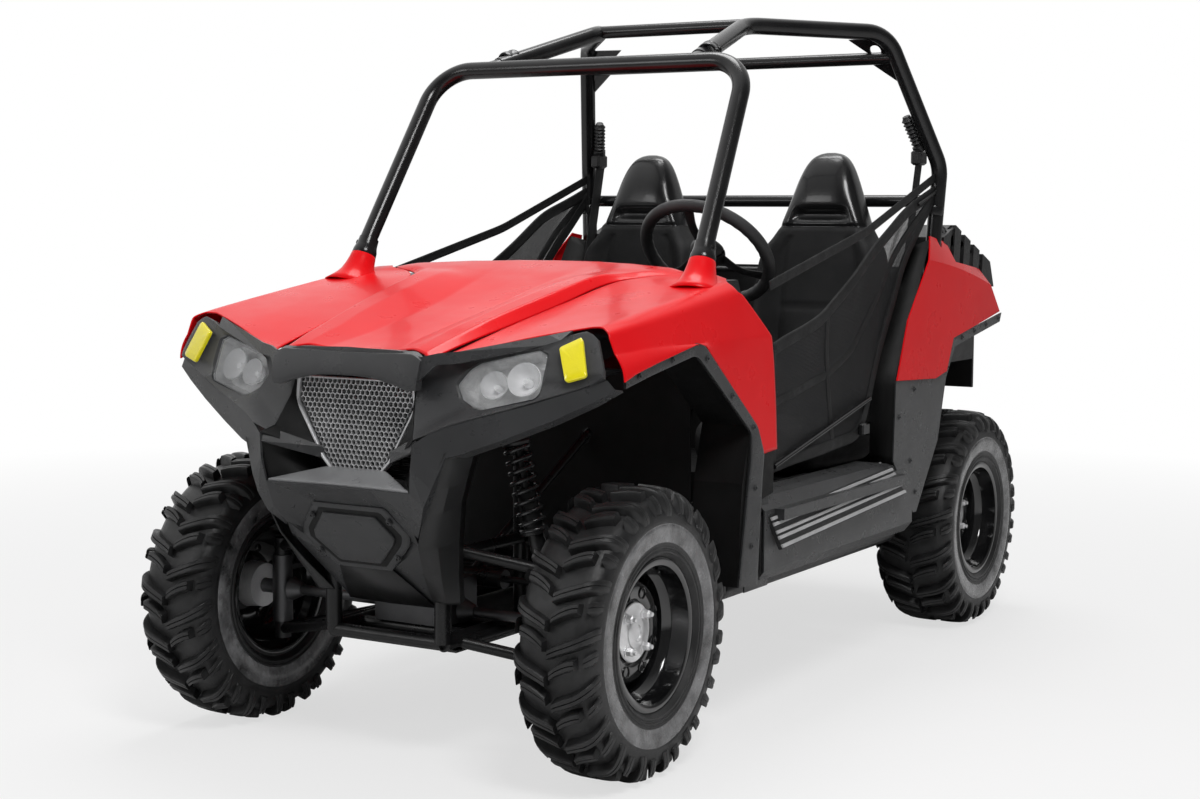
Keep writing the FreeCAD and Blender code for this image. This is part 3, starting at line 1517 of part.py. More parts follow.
def seat_belt():
    """The left belt: the reel on the cage leg and the strap down to its anchor."""
    way = (LEG_HEAD - LEG_KINK).normalize()
    inboard = (Vector(-1, 0, 0) + way * way.x).normalize() * BELT_INSET
    reel_low = LEG_KINK + way * D.boss_radius * 1.8 + inboard
    reel_high = reel_low + way * D.gusset_length
    reel = rod(reel_low, reel_high, D.rail_radius * 0.9)
    half = D.step_wall
    foot_y = FRONT_AXLE + D.cushion_rear_back
    strap = prism([
        Vector(STRAP_X, reel_low.y - half, reel_low.z + half),
        Vector(STRAP_X, reel_low.y + half * 0.5, reel_low.z + half),
        Vector(STRAP_X, foot_y + half, D.seat_deck_z + half),
        Vector(STRAP_X, foot_y - half, D.seat_deck_z + half),
    ], Vector(D.panel_wall * 0.5, 0, 0))
    return fused([reel, strap])


BELT_INSET = D.cage_radius + D.rail_radius * 0.9 + D.seat_gap
STRAP_X = LEG_KINK.x - BELT_INSET - D.rail_radius
feature("seat_belts", apart(both_sides([seat_belt()])))


NET_OUTLINE_SHARES = (
    (0.3098, 0.5829), (0.5726, 0.6095), (0.7081, 1.0667), (0.8333, 1.2019), (0.8333, 1.2286),
    (0.7055, 1.1476), (0.4601, 0.9095), (0.3098, 0.8476),
)
STRAP_OUTLINE_SHARES = (
    (0.2965, 0.9810), (0.5879, 1.1000), (0.8333, 1.2476), (0.8333, 1.2667), (0.5879, 1.1238),
    (0.2965, 1.0048),
)


def side_net():
    """The left net and the strap above it, as flat sheets."""
    x = D.body_half_width - D.boss_radius
    wall = D.panel_wall * 0.5
    mesh = yz_prism(x, x + wall, side_outline(NET_OUTLINE_SHARES))
    strap = yz_prism(x, x + wall, side_outline(STRAP_OUTLINE_SHARES))
    room = leg_room(D.seat_gap)
    riser = Vector(D.side_rail_x, FRONT_AXLE + D.side_rail_front + RISER_SET, 0)
    mesh = largest(mesh.cut(room))
    for share in NET_HOOK_SHARES:
        place = Vector(x + wall * 0.5, FRONT_AXLE + D.net_front_back + wall, D.fender_top_z * share)
        mesh = mesh.fuse(peg(place, Vector(riser.x, riser.y, place.z) - place, frame_shape, wall))
    strap = largest(strap.cut(room))
    hook = rod(
        Vector(x + wall, FRONT_AXLE + D.net_front_back - D.step_wall * 0.5, D.dash_top_z - D.step_wall * 0.5),
        Vector(D.dash_half_width + D.seat_gap, FRONT_AXLE + D.net_front_back - D.step_wall * 0.5,
               D.dash_top_z - D.step_wall * 0.5),
        wall * 2,
    )
    return [mesh, strap.fuse(hook)]


NET_HOOK_SHARES = (0.62, 0.76)


left_net = side_net()
feature("side_net_left", apart(left_net))
feature("side_net_right", apart([mirror(item) for item in left_net]))


# Power unit and tail

ENGINE_LOW = D.rail_z + D.rail_radius + D.seat_gap
feature("engine_block", box(
    Vector(-D.engine_half_width, behind_front(D.engine_front_back), ENGINE_LOW),
    Vector(
        D.engine_half_width,
        behind_front(D.engine_front_back + D.engine_length),
        ENGINE_LOW + D.engine_height,
    ),
))
muffler_y = REAR_AXLE + D.muffler_back
muffler_end = Vector(D.muffler_half_length, muffler_y, D.muffler_z)
muffler_hanger = Vector(D.deck_x, REAR_AXLE + D.deck_rear, D.muffler_z)
hanger_start = muffler_end - Vector(D.step_wall, 0, 0)
feature("muffler", fused(
    [rod(other_side(muffler_end), muffler_end, D.muffler_radius)]
    + both_sides([peg(hanger_start, muffler_hanger - hanger_start, frame_shape, D.tie_rod_radius)])
))


RECEIVER_Z = D.rail_z + D.rail_rise + D.brace_radius + D.seat_gap + D.receiver_width * 0.5


RECEIVER_START = REAR_AXLE + D.tyre_radius - D.receiver_length


def rear_bumper():
    """The tail loop and the bar across it."""
    y = REAR_AXLE + D.tyre_radius - D.bumper_tube_radius - D.seat_gap
    x = D.rail_x + D.rail_radius * 2
    loop = tube([
        Vector(x, REAR_AXLE + D.rail_tail, RECEIVER_Z),
        Vector(x, y, RECEIVER_Z),
        Vector(x, y, D.muffler_z),
        Vector(-x, y, D.muffler_z),
        Vector(-x, y, RECEIVER_Z),
        Vector(-x, REAR_AXLE + D.rail_tail, RECEIVER_Z),
    ], D.bumper_tube_radius, D.rail_bend * 0.5)
    bar = rod(Vector(-x, y, RECEIVER_Z), Vector(x, y, RECEIVER_Z), D.bumper_tube_radius * 0.8)
    half = D.receiver_width * 0.5 + D.seat_gap
    room = box(Vector(-half, RECEIVER_START, RECEIVER_Z - half), Vector(half, D.wheelbase, RECEIVER_Z + half))
    return fused([loop, bar]).cut(room)


def hitch_receiver():
    """The square socket for a hitch, with its pin hole."""
    half = D.receiver_width * 0.5
    start = RECEIVER_START
    end = REAR_AXLE + D.tyre_radius - D.seat_gap * 2
    outer = box(Vector(-half, start, RECEIVER_Z - half), Vector(half, end, RECEIVER_Z + half))
    hollow = D.receiver_bore * 0.5
    inner = box(
        Vector(-hollow, start - D.cut_over, RECEIVER_Z - hollow),
        Vector(hollow, end + D.cut_over, RECEIVER_Z + hollow),
    )
    pin_y = end - D.receiver_length * 0.6
    pin = rod(
        Vector(-D.receiver_width, pin_y, RECEIVER_Z),
        Vector(D.receiver_width, pin_y, RECEIVER_Z),
        D.receiver_pin_radius,
    )
    return outer.cut(inner).cut(pin)


feature("rear_bumper", rear_bumper())
feature("hitch_receiver", hitch_receiver())


def tail_panel():
    """The black panel below the bed's rear edge."""
    front = FRONT_AXLE + D.bed_front_back + D.bed_length
    low = D.rear_deck_z - D.rail_bend
    return box(
        Vector(-D.bed_half_width, front + D.seat_gap, low),
        Vector(D.bed_half_width, front + D.seat_gap + D.panel_wall * 3, D.bed_top_z - D.step_wall),
    )


feature("tail_panel", tail_panel())
lamp_y = FRONT_AXLE + D.bed_front_back + D.bed_length + D.panel_wall * 3 + 2 * D.seat_gap
tail_lamp = box(
    Vector(D.bed_half_width - D.rail_bend * 1.5, lamp_y, D.bed_floor_z + D.step_wall),
    Vector(D.bed_half_width - D.step_wall, lamp_y + D.step_wall, D.bed_floor_z + D.rail_rise),
)
feature("tail_lamps", apart(both_sides([tail_lamp])))


# Controls

def pedal(x):
    """A hanging pedal from the dash down to its pad."""
    top = Vector(x, behind_front(D.dash_front_back + D.step_wall * 3), D.dash_bottom_z - D.seat_gap * 3)
    pad_place = Vector(x, top.y + D.step_wall, D.floor_z + D.rail_rise * 1.2)
    arm = rod(top, pad_place, D.tie_rod_radius)
    tread = box(
        pad_place - Vector(D.rail_radius * 1.6, D.panel_wall, D.rail_radius * 2),
        pad_place + Vector(D.rail_radius * 1.6, D.panel_wall, D.rail_radius * 2),
    )
    return fused([arm, tread])


feature("pedals", apart([pedal(D.steering_wheel_x - D.rail_bend), pedal(D.steering_wheel_x + D.rail_bend)]))
lever_foot = Vector(0, behind_front(D.seat_riser_back - D.rail_rise), D.tunnel_z + D.seat_gap)
lever_top = lever_foot + Vector(0, -D.step_wall, D.rail_rise * 1.6)
feature("gear_lever", fused([
    box(
        lever_foot - Vector(D.rail_radius * 1.5, D.rail_radius * 3, 0),
        lever_foot + Vector(D.rail_radius * 1.5, D.rail_radius * 2, D.step_wall),
    ),
    rod(lever_foot + Vector(0, 0, D.panel_wall), lever_top, D.tie_rod_radius),
    Part.makeSphere(D.rail_radius, lever_top),
]))


# Nose

def nose_grid(rows, mirrored=True):
    """Grid points of a nose panel, each row completed to the other side if asked."""
    made = []
    for row in rows:
        line = [nose_point(place) for place in row]
        if mirrored:
            start = 1 if row[0][0] == 0 else 0
            line = [other_side(place) for place in line[start:][::-1]] + line
        made.append(line)
    return made


CHIN_SHARES = (
    ((0.000, 0.763, 0.7289), (0.067, 0.763, 0.7289), (0.125, 0.763, 0.7289)),
    ((0.000, 1.000, 0.6989), (0.158, 0.988, 0.6989), (0.320, 0.974, 0.6989)),
    ((0.000, 0.830, 0.6467), (0.152, 0.830, 0.6478), (0.313, 0.918, 0.6356)),
    ((0.000, 0.766, 0.5733), (0.230, 0.754, 0.5756), (0.287, 0.842, 0.5944)),
    ((0.000, 0.652, 0.4911), (0.110, 0.652, 0.4911), (0.288, 0.795, 0.5633)),
)
ARM_SHARES = (
    (
        (0.353, 0.912, 0.8144), (0.420, 0.848, 0.8467), (0.557, 0.754, 0.8689), (0.717, 0.649, 0.8978),
        (0.858, 0.567, 0.9333), (0.943, 0.497, 0.9578),
    ),
    (
        (0.340, 0.991, 0.8144), (0.413, 0.933, 0.8489), (0.557, 0.819, 0.8789), (0.713, 0.696, 0.9100),
        (0.870, 0.573, 0.9467), (0.953, 0.503, 0.9689),
    ),
    (
        (0.393, 0.947, 0.7756), (0.483, 0.877, 0.7911), (0.620, 0.769, 0.8267), (0.777, 0.646, 0.8722),
        (0.900, 0.550, 0.9133), (0.980, 0.485, 0.9444),
    ),
    (
        (0.400, 0.830, 0.7667), (0.483, 0.754, 0.7822), (0.620, 0.649, 0.8178), (0.777, 0.532, 0.8633),
        (0.900, 0.444, 0.9056), (0.980, 0.392, 0.9389),
    ),
)
POST_SHARES = (
    ((0.340, 0.991, 0.8144), (0.445, 0.906, 0.7856), (0.458, 0.778, 0.7811)),
    ((0.333, 0.997, 0.7567), (0.400, 0.942, 0.7111), (0.417, 0.807, 0.7111)),
    ((0.320, 0.974, 0.6989), (0.370, 0.950, 0.6667), (0.387, 0.819, 0.6667)),
    ((0.313, 0.918, 0.6356), (0.342, 0.912, 0.6222), (0.353, 0.801, 0.6222)),
    ((0.287, 0.842, 0.5944), (0.297, 0.830, 0.5867), (0.303, 0.766, 0.5833)),
)
STRUT_SHARES = (
    ((0.142, 0.760, 0.7800), (0.340, 0.942, 0.8311)),
    ((0.158, 0.789, 0.7556), (0.332, 0.991, 0.7956)),
)
FOOT_SHARES = (
    ((0.110, 0.652, 0.4911), (0.288, 0.795, 0.5633)),
    ((0.103, 0.415, 0.3911), (0.197, 0.380, 0.3856)),
)
BROW_SHARES = (
    (
        (0.000, 0.848, 1.0278), (0.217, 0.848, 1.0244), (0.322, 0.851, 1.0122), (0.375, 0.804, 1.0211),
        (0.440, 0.751, 1.0256), (0.720, 0.500, 1.0656), (0.792, 0.436, 1.0767),
    ),
    (
        (0.000, 0.874, 0.9689), (0.217, 0.874, 0.9644), (0.313, 0.883, 0.9511), (0.373, 0.813, 0.9944),
        (0.447, 0.760, 0.9989), (0.720, 0.550, 1.0433), (0.770, 0.518, 1.0544),
    ),
)
BROW_TOP_SHARES = ((0.233, 0.845, 1.0233), (0.233, 0.775, 1.0233), (0.213, 0.751, 1.0233))
BEZEL_SHARES = (
    (
        (0.375, 0.713, 0.9900), (0.550, 0.620, 1.0133), (0.770, 0.532, 1.0467), (0.803, 0.497, 1.0622),
        (0.893, 0.462, 1.0711),
    ),
    (
        (0.375, 0.825, 0.8722), (0.550, 0.737, 0.8933), (0.780, 0.655, 0.9267), (0.820, 0.626, 0.9444),
        (0.952, 0.556, 0.9756),
    ),
)
LENS_SHARES = (
    ((0.453, 0.675, 0.9822), (0.550, 0.632, 1.0033), (0.733, 0.556, 1.0244)),
    ((0.440, 0.749, 0.9133), (0.542, 0.751, 0.8933), (0.727, 0.664, 0.9244)),
)
MARKER_SHARES = (
    ((0.797, 0.520, 1.0422), (0.853, 0.485, 1.0589)),
    ((0.837, 0.594, 0.9633), (0.897, 0.561, 0.9778)),
)
GRILLE_SHARES = ((0.258, 0.9478), (0.267, 0.8922), (0.150, 0.7589), (0.113, 0.7333))
GRILLE_SET_SHARE = 0.751


def thick_lens(front):
    """The hole that a lens needs in its bezel, through and through."""
    return skin_between(sunk_grid(front, -D.cut_over * 2), sunk_grid(front, D.lens_wall + D.seat_gap))


chin = facet_skin(nose_grid(CHIN_SHARES), D.bumper_wall)
bumper_left = [
    facet_skin(nose_grid(shares, False), D.bumper_wall)
    for shares in (ARM_SHARES, POST_SHARES, STRUT_SHARES, FOOT_SHARES)
]
shelf_mid = nose_point(CHIN_SHARES[2][1])
shelf_end = nose_point(CHIN_SHARES[2][2])
strut_share = (D.rail_x - shelf_mid.x) / (shelf_end.x - shelf_mid.x)
strut_start = shelf_mid + (shelf_end - shelf_mid) * strut_share + Vector(0, D.bumper_wall * 0.5, 0)
strut = peg(strut_start, Vector(0, 1, 0), frame_shape, D.tie_rod_radius)
feature("front_bumper", fused([chin] + both_sides(bumper_left + [strut])))
brow = facet_skin(nose_grid(BROW_SHARES), D.bumper_wall)
brow_line = [nose_point(place) for place in BROW_TOP_SHARES]
brow_top = prism(brow_line + [other_side(place) for place in brow_line[::-1]], Vector(0, 0, -D.bumper_wall))
brow_edge = brow_line[2]
tower_bar = Vector(D.rail_x * 0.5, FRONT_AXLE - D.tower_half_length, D.front_tower_z)
brow_start = Vector(tower_bar.x, brow_edge.y - D.bumper_wall, brow_edge.z - D.bumper_wall * 0.5)
brow_peg = peg(brow_start, tower_bar - brow_start, frame_shape, D.panel_wall)
hood_stop = Vector(tower_bar.x * 1.5, brow_edge.y - D.bumper_wall, brow_edge.z - D.bumper_wall * 0.5)
stop_peg = peg(hood_stop, Vector(0, 1, 0), hood_skin, D.panel_wall * 0.4)
feature("nose_trim", fused([brow, brow_top] + both_sides([brow_peg, stop_peg])))
lens_front = nose_grid(LENS_SHARES, False)
marker_front = nose_grid(MARKER_SHARES, False)
feature("headlamp_lenses", apart(both_sides([facet_skin(lens_front, D.lens_wall)])))
feature("side_markers", apart(both_sides([facet_skin(marker_front, D.lens_wall)])))
bezel_front = nose_grid(BEZEL_SHARES, False)
bezel = facet_skin(bezel_front, D.lens_wall * 1.5)
housing_front = sunk_grid(bezel_front, D.lens_wall + D.seat_gap)
housing_back = sunk_grid(bezel_front, D.lens_wall + D.seat_gap + D.lamp_depth)
lamp_columns = slice(1, 3)
bowl_front = [row[lamp_columns] for row in housing_front]
bowl_back = [row[lamp_columns] for row in housing_back]
left_housing = bezel.fuse(skin_between(bowl_front, bowl_back))
for hole in (thick_lens(lens_front), thick_lens(marker_front)):
    for way in ((0, 0, 0), (D.seat_gap, 0, 0), (-D.seat_gap, 0, 0), (0, 0, D.seat_gap), (0, 0, -D.seat_gap)):
        left_housing = left_housing.cut(hole.translated(Vector(*way)))
left_housing = largest(left_housing)
lamp_root = (bowl_back[0][0] + bowl_back[0][1] + bowl_front[1][0] + bowl_front[1][1]) * 0.25
tower_rail = Vector(D.rail_x, FRONT_AXLE - D.shock_set_back, D.front_tower_z)
lamp_peg = peg(lamp_root, tower_rail - lamp_root, frame_shape, D.panel_wall)
feature("headlamp_housings", apart(both_sides([left_housing.fuse(lamp_peg)])))


def honeycomb(low, high, size):
    """Hexagonal cells in rows between two corners of a level grid, as prisms along Y."""
    cells = []
    across = size * 1.2
    rise = across * math.sin(math.radians(60))
    rows = int((high.z - low.z) / rise)
    columns = int((high.x - low.x) / across)
    for i in range(rows + 1):
        for j in range(-columns, columns + 1):
            x = across * (j + 0.5 * (i % 2))
            z = low.z + rise * (i + 0.5)
            cells.append([
                Vector(
                    x + size * 0.5 * math.sin(math.radians(60 * k)),
                    low.y,
                    z + size * 0.5 * math.cos(math.radians(60 * k)),
                )
                for k in range(6)
            ])
    return cells


grille_y = FRONT_AXLE - D.nose_overhang * GRILLE_SET_SHARE
grille_line = [Vector(x * D.nose_half_width, grille_y, z * D.nose_height) for x, z in GRILLE_SHARES]
grille_outline = grille_line + [other_side(place) for place in grille_line[::-1]]
grille_plate = prism(grille_outline, Vector(0, D.grille_wall, 0))
grille_face = Part.Face(polygon(grille_outline))
grille_cells = [
    prism(cell, Vector(0, D.grille_wall, 0))
    for cell in honeycomb(grille_line[3] - Vector(grille_line[3].x, 0, 0), grille_line[0], D.grille_cell)
    if all(grille_face.isInside(corner * 1.0, D.seat_gap, True) for corner in cell)
]
grille_bar = box(
    Vector(-tower_bar.x * 1.5, grille_y + D.grille_wall * 0.5, D.front_tower_z - D.panel_wall * 2),
    Vector(tower_bar.x * 1.5, grille_y + D.grille_wall, D.front_tower_z + D.panel_wall * 2),
)
grille_start = Vector(tower_bar.x, grille_y + D.grille_wall * 0.75, D.front_tower_z)
grille_peg = peg(grille_start, Vector(0, 1, 0), frame_shape, D.panel_wall)
feature("grille", fused([grille_plate.cut(grille_cells), grille_bar] + both_sides([grille_peg])))


def write_parts():
    """Checks every object and writes each sub-part to its own file."""
    document.recompute()
    for item in document.Objects:
        if "Invalid" in item.State or "Error" in item.State:
            raise RuntimeError(f"{item.Name} did not recompute: {item.State}")
    os.makedirs("parts", exist_ok=True)
    for item in PARTS:
        if item.Shape.isNull() or not item.Shape.isValid():
            raise RuntimeError(f"{item.Label} has no valid shape")
        item.Shape.exportStep(f"parts/{item.Label}.step")
        print(f"{item.Label}: {len(item.Shape.Solids)} solids, {item.Shape.Volume / 1000.0:.1f} cm3")


write_parts()
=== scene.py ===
"""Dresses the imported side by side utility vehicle: finishes for its frame and its fine surfaces.

The front faces -Y, the left side is +X and the ground is at Z = 0. Lengths are in metres, and those in the tables
of sections and profiles in millimetres.
"""
import math

import bmesh
import bpy
import numpy as np
from mathutils import Matrix, Vector


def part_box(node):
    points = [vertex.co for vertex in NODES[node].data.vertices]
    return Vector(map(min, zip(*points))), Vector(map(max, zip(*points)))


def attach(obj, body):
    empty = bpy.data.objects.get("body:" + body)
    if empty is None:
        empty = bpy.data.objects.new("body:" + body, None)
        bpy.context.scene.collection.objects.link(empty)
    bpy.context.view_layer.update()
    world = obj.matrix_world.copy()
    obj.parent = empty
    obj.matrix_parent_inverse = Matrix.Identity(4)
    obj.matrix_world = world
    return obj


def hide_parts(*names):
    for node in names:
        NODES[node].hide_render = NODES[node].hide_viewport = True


bl_info = {
    "name": "Side by Side Vehicle Dresser",
    "version": (1, 0, 0),
    "blender": (4, 5, 0),
    "location": "View3D > Sidebar > Utility Vehicle",
    "description": "Adds tyres, panels, seats, nets and finishes to a packed side by side vehicle frame",
    "category": "Add Mesh",
}

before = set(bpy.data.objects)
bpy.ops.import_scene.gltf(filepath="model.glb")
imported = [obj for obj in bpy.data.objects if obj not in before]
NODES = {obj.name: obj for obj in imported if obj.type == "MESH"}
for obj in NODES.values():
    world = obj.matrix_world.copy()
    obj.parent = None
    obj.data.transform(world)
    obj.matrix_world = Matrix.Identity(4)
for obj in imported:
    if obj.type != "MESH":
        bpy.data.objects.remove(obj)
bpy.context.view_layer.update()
TYRE_RADIUS = 0.3175
FRONT_AXLE, REAR_AXLE = -0.96575, 0.99025
# Axle end: half track, Y, half width of the tyre and of the rim
TRACK = {"front": (0.5145, FRONT_AXLE, 0.096, 0.08), "rear": (0.495, REAR_AXLE, 0.116, 0.1)}
FIT_SHIFT = 12.25
SIDES = ((1, "left"), (-1, "right"))
ACROSS = np.array((1.0, 0, 0))
REARWARD = np.array((0, 1.0, 0))
TAU = 2 * math.pi
FINISH = {}


def at(*places):
    """Places measured in millimetres in the photograph's camera frame, as metres in the part's frame."""
    return (np.array(places, dtype=float) + (0, FIT_SHIFT, 0)) / 1000


# Surfaces

class Surface:
    """Grids of points gathered into one mesh."""

    def __init__(self):
        self.points, self.quads, self.flat, self.coats, self.count = [], [], [], [], 0

    def stack(self, points, loop_rows=False, loop_columns=False, coat=0):
        """Adds like grids, shape copies, rows, columns, 3; a looped direction runs back to its start."""
        copies, rows, columns = points.shape[:3]
        i, j = np.meshgrid(np.arange(rows if loop_rows else rows - 1),
                           np.arange(columns if loop_columns else columns - 1), indexing="ij")
        i2, j2 = (i + 1) % rows, (j + 1) % columns
        quads = np.stack([i * columns + j, i * columns + j2, i2 * columns + j2, i2 * columns + j], axis=-1)
        steps = np.arange(copies)[:, None, None] * rows * columns
        self.quads.append((quads.reshape(1, -1, 4) + steps).reshape(-1, 4) + self.count)
        self.coats.append(np.full(len(self.quads[-1]), coat))
        self.points.append(points.reshape(-1, 3))
        shares = np.meshgrid(np.linspace(0, 1, rows), np.linspace(0, 1, columns), indexing="ij")
        self.flat.append(np.tile(np.stack(shares, axis=-1).reshape(-1, 2), (copies, 1)))
        self.count += copies * rows * columns
        return self

    def grid(self, points, **how):
        """Adds one grid of shape rows, columns, 3."""
        return self.stack(np.asarray(points, dtype=float)[None], **how)

    def rings(self, rings, coat=0):
        """Adds closed rings in a row, with a pole at each end."""
        return self.grid(capped(np.asarray(rings)), loop_columns=True, coat=coat)

    def sweep(self, path, section, hint=(0, 0, 1), coat=0):
        """Adds a closed section carried along a path: each ring is the path point plus the section across it."""
        way = unit(np.gradient(path, axis=0))
        across = unit(np.cross(way, np.asarray(hint, dtype=float)))
        up = np.cross(across, way)
        rings = path[:, None] + section[:, :1] * across[:, None] + section[:, 1:] * up[:, None]
        return self.rings(rings, coat)

    def lathe(self, profile, centre, way=(1, 0, 0), turns=48, closed=True, coat=0):
        """Adds a profile turned about a line."""
        return self.grid(turned(profile, centre, way, turns), loop_rows=closed, coat=coat)

    def moved(self, scale, shift=0):
        """Scales what is there about the origin, then shifts it."""
        self.points = [points * scale + shift for points in self.points]
        return self

    def mirrored(self):
        """Adds the other side's copy of what is there."""
        points, quads, flat = (np.concatenate(part) for part in (self.points, self.quads, self.flat))
        self.points = [points, points * (-1, 1, 1)]
        self.quads = [quads, quads[:, ::-1] + len(points)]
        self.flat = [flat, flat]
        self.coats = self.coats + self.coats
        self.count = 2 * len(points)
        return self

    def piece(self, name, finishes, replaces=(), crease=40, wall=0, outward=True, body="chassis",
              slot="black_plastic"):
        """Makes the object: seams and poles welded, faces turned outwards, wall finished."""
        points, quads, flat, coats = (
            np.concatenate(part) for part in (self.points, self.quads, self.flat, self.coats))
        mesh = bpy.data.meshes.new(name)
        mesh.vertices.add(len(points))
        mesh.vertices.foreach_set("co", points.ravel())
        mesh.loops.add(quads.size)
        mesh.loops.foreach_set("vertex_index", quads.ravel().astype(np.int32))
        mesh.polygons.add(len(quads))
        mesh.polygons.foreach_set("loop_start", (np.arange(len(quads)) * 4).astype(np.int32))
        mesh.polygons.foreach_set("material_index", coats.astype(np.int32))
        mesh.update(calc_edges=True)
        mesh.uv_layers.new(name="surface").data.foreach_set("uv", flat[quads.ravel()].ravel())
        work = bmesh.new()
        work.from_mesh(mesh)
        bmesh.ops.remove_doubles(work, verts=work.verts, dist=2e-6)
        bmesh.ops.dissolve_degenerate(work, edges=work.edges, dist=1e-7)
        if outward:
            bmesh.ops.recalc_face_normals(work, faces=work.faces)
        work.to_mesh(mesh)
        work.free()
        mesh.polygons.foreach_set("use_smooth", np.ones(len(mesh.polygons), dtype=bool))
        mesh.set_sharp_from_angle(angle=math.radians(crease))
        made = placed(name, mesh)
        if wall:
            thick = made.modifiers.new("Wall", "SOLIDIFY")
            thick.thickness = wall
            thick.offset = -1
        for finish in finishes.split():
            mesh.materials.append(FINISH[finish])
        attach(made, body)
        if replaces:
            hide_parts(*replaces)
        return made


def placed(name, data):
    """A new object in the scene."""
    made = bpy.data.objects.new(name, data)
    bpy.context.scene.collection.objects.link(made)
    return made


def unit(a):
    """Vectors of length one."""
    a = np.asarray(a, dtype=float)
    return a / np.maximum(np.linalg.norm(a, axis=-1, keepdims=True), 1e-12)


def capped(rings):
    """Rings with a pole at each end, so that the surface closes."""
    first, last = (np.broadcast_to(end.mean(axis=1, keepdims=True), end.shape) for end in (rings[:1], rings[-1:]))
    return np.concatenate([first, rings, last])


def smooth_line(points, count):
    """Points on a cubic through the given ones: Catmull-Rom spans sampled evenly."""
    p = np.asarray(points, dtype=float)
    p = np.concatenate([2 * p[:1] - p[1:2], p, 2 * p[-1:] - p[-2:-1]])
    spans = len(p) - 3
    t = np.linspace(0, spans, count)
    k = np.minimum(t.astype(int), spans - 1)
    f = (t - k)[:, None]
    a, b, c, d = p[k], p[k + 1], p[k + 2], p[k + 3]
    return 0.5 * (2 * b + (c - a) * f + (2 * a - 5 * b + 4 * c - d) * f ** 2 + (3 * b - a - 3 * c + d) * f ** 3)


def along_line(points, count, closed=False):
    """Points evenly spaced by length along a straight-sided line."""
    p = np.asarray(points, dtype=float)
    if closed:
        p = np.concatenate([p, p[:1]])
    length = np.concatenate([[0], np.cumsum(np.linalg.norm(np.diff(p, axis=0), axis=1))])
    share = np.linspace(0, length[-1], count, endpoint=not closed)
    return np.stack([np.interp(share, length, p[:, k]) for k in range(3)], axis=-1)


def bent_line(points, bend, arc=9):
    """Straight runs joined by circular arcs of one bend radius, as a bender makes them."""
    p = np.asarray(points, dtype=float)
    out = [p[:1]]
    for before, corner, after in zip(p, p[1:], p[2:]):
        back, ahead = unit(before - corner), unit(after - corner)
        turn = math.pi - math.acos(float(np.clip(back @ ahead, -1, 1)))
        room = 0.48 * min(np.linalg.norm(before - corner), np.linalg.norm(after - corner))
        reach = min(bend * math.tan(turn / 2), room)
        radius = reach / math.tan(turn / 2)
        centre = corner + unit(back + ahead) * radius / math.cos(turn / 2)
        angle = np.linspace(0, turn, arc)[:, None]
        out.append(centre + (corner + back * reach - centre) * np.cos(angle) + radius * np.sin(angle) * -back)
    return np.concatenate(out + [p[-1:]])


def softened(values, passes, axis=0):
    """Values smoothed along an axis by (a + 2b + c) / 4, ends kept, as many times as asked."""
    values = np.moveaxis(values, axis, 0).copy()
    for _ in range(passes):
        values[1:-1] = (values[:-2] + 2 * values[1:-1] + values[2:]) / 4
    return np.moveaxis(values, 0, axis)


def ring(sides, radius=1.0):
    """A circle as a section."""
    angle = np.arange(sides) * TAU / sides
    return np.stack([radius * np.cos(angle), radius * np.sin(angle)], axis=-1)


def octagon(x0, x1, y0, y1, c):
    """A rectangle's outline with its corners cut by c."""
    return np.array([(x0 + c, y0), (x1 - c, y0), (x1, y0 + c), (x1, y1 - c),
                     (x1 - c, y1), (x0 + c, y1), (x0, y1 - c), (x0, y0 + c)])


def turned(profile, centre, way=(1, 0, 0), turns=48):
    """A profile of (along, radius) pairs in millimetres turned once: radius times (cos, sin) of the angle."""
    profile = np.asarray(profile, dtype=float)[None] / 1000
    way = unit(way)
    side = unit(np.cross(way, (0.0, 0.31, 0.95) if abs(way[2]) < 0.9 else (1.0, 0, 0)))
    angle = (np.arange(turns) * TAU / turns)[:, None, None]
    spin = np.cos(angle) * side + np.sin(angle) * np.cross(way, side)
    return np.asarray(centre) + profile[..., :1] * way + profile[..., 1:] * spin


def block(surface, low, high, c):
    """Adds a box with chamfered upright edges: a rounded rectangle carried from its floor to its top."""
    (x0, y0, z0), (x1, y1, z1) = low, high
    outline = octagon(x0, x1, y0, y1, c)
    middle = outline.mean(axis=0)
    inner = (outline - middle) * (1 - 2 * c / np.array((x1 - x0, y1 - y0))) + middle
    surface.rings([np.column_stack([line, np.full(8, z)]) for line, z in (
        (inner, z0), (outline, z0 + c), (outline, z1 - c), (inner, z1))])


def plate(surface, outline, way, thickness, edge):
    """Adds a flat closed outline pushed along a vector, with its rims drawn in by the edge width."""
    outline = np.asarray(outline, dtype=float)
    way = unit(way)
    middle = outline.mean(axis=0)
    small = middle + (outline - middle) * (1 - edge / np.linalg.norm(outline - middle, axis=1).mean())
    surface.rings([small, outline + way * edge, outline + way * (thickness - edge), small + way * thickness])


def bolt(surface, place, way, radius):
    """Adds a round-headed screw with a socket."""
    r = radius * 1000
    surface.lathe([(-1, r * 1.3), (1, r * 1.3), (1.2, r), (3.2, r * 0.92), (4, r * 0.6), (3.6, r * 0.5),
                   (1.6, r * 0.42), (1.6, 0.01)], place, way, 14)


def band(surface, low, high, depth, lift, count, soft=2, coat=0):
    """Adds a flat bar between two lines, its long edges rounded: shares of the way across by heights."""
    a, b = (softened(along_line(line, count), soft) for line in (low, high))
    out = unit(np.cross(unit(np.gradient((a + b) / 2, axis=0)), b - a))
    across, rise = np.array([(0, -depth), (0, lift * 0.3), (0.04, lift * 0.85), (0.12, lift), (0.88, lift),
                             (0.96, lift * 0.85), (1, lift * 0.3), (1, -depth)]).T[:, None, :, None]
    surface.rings(a[:, None] + (b - a)[:, None] * across + out[:, None] * rise, coat)
    return (a + b) / 2, out


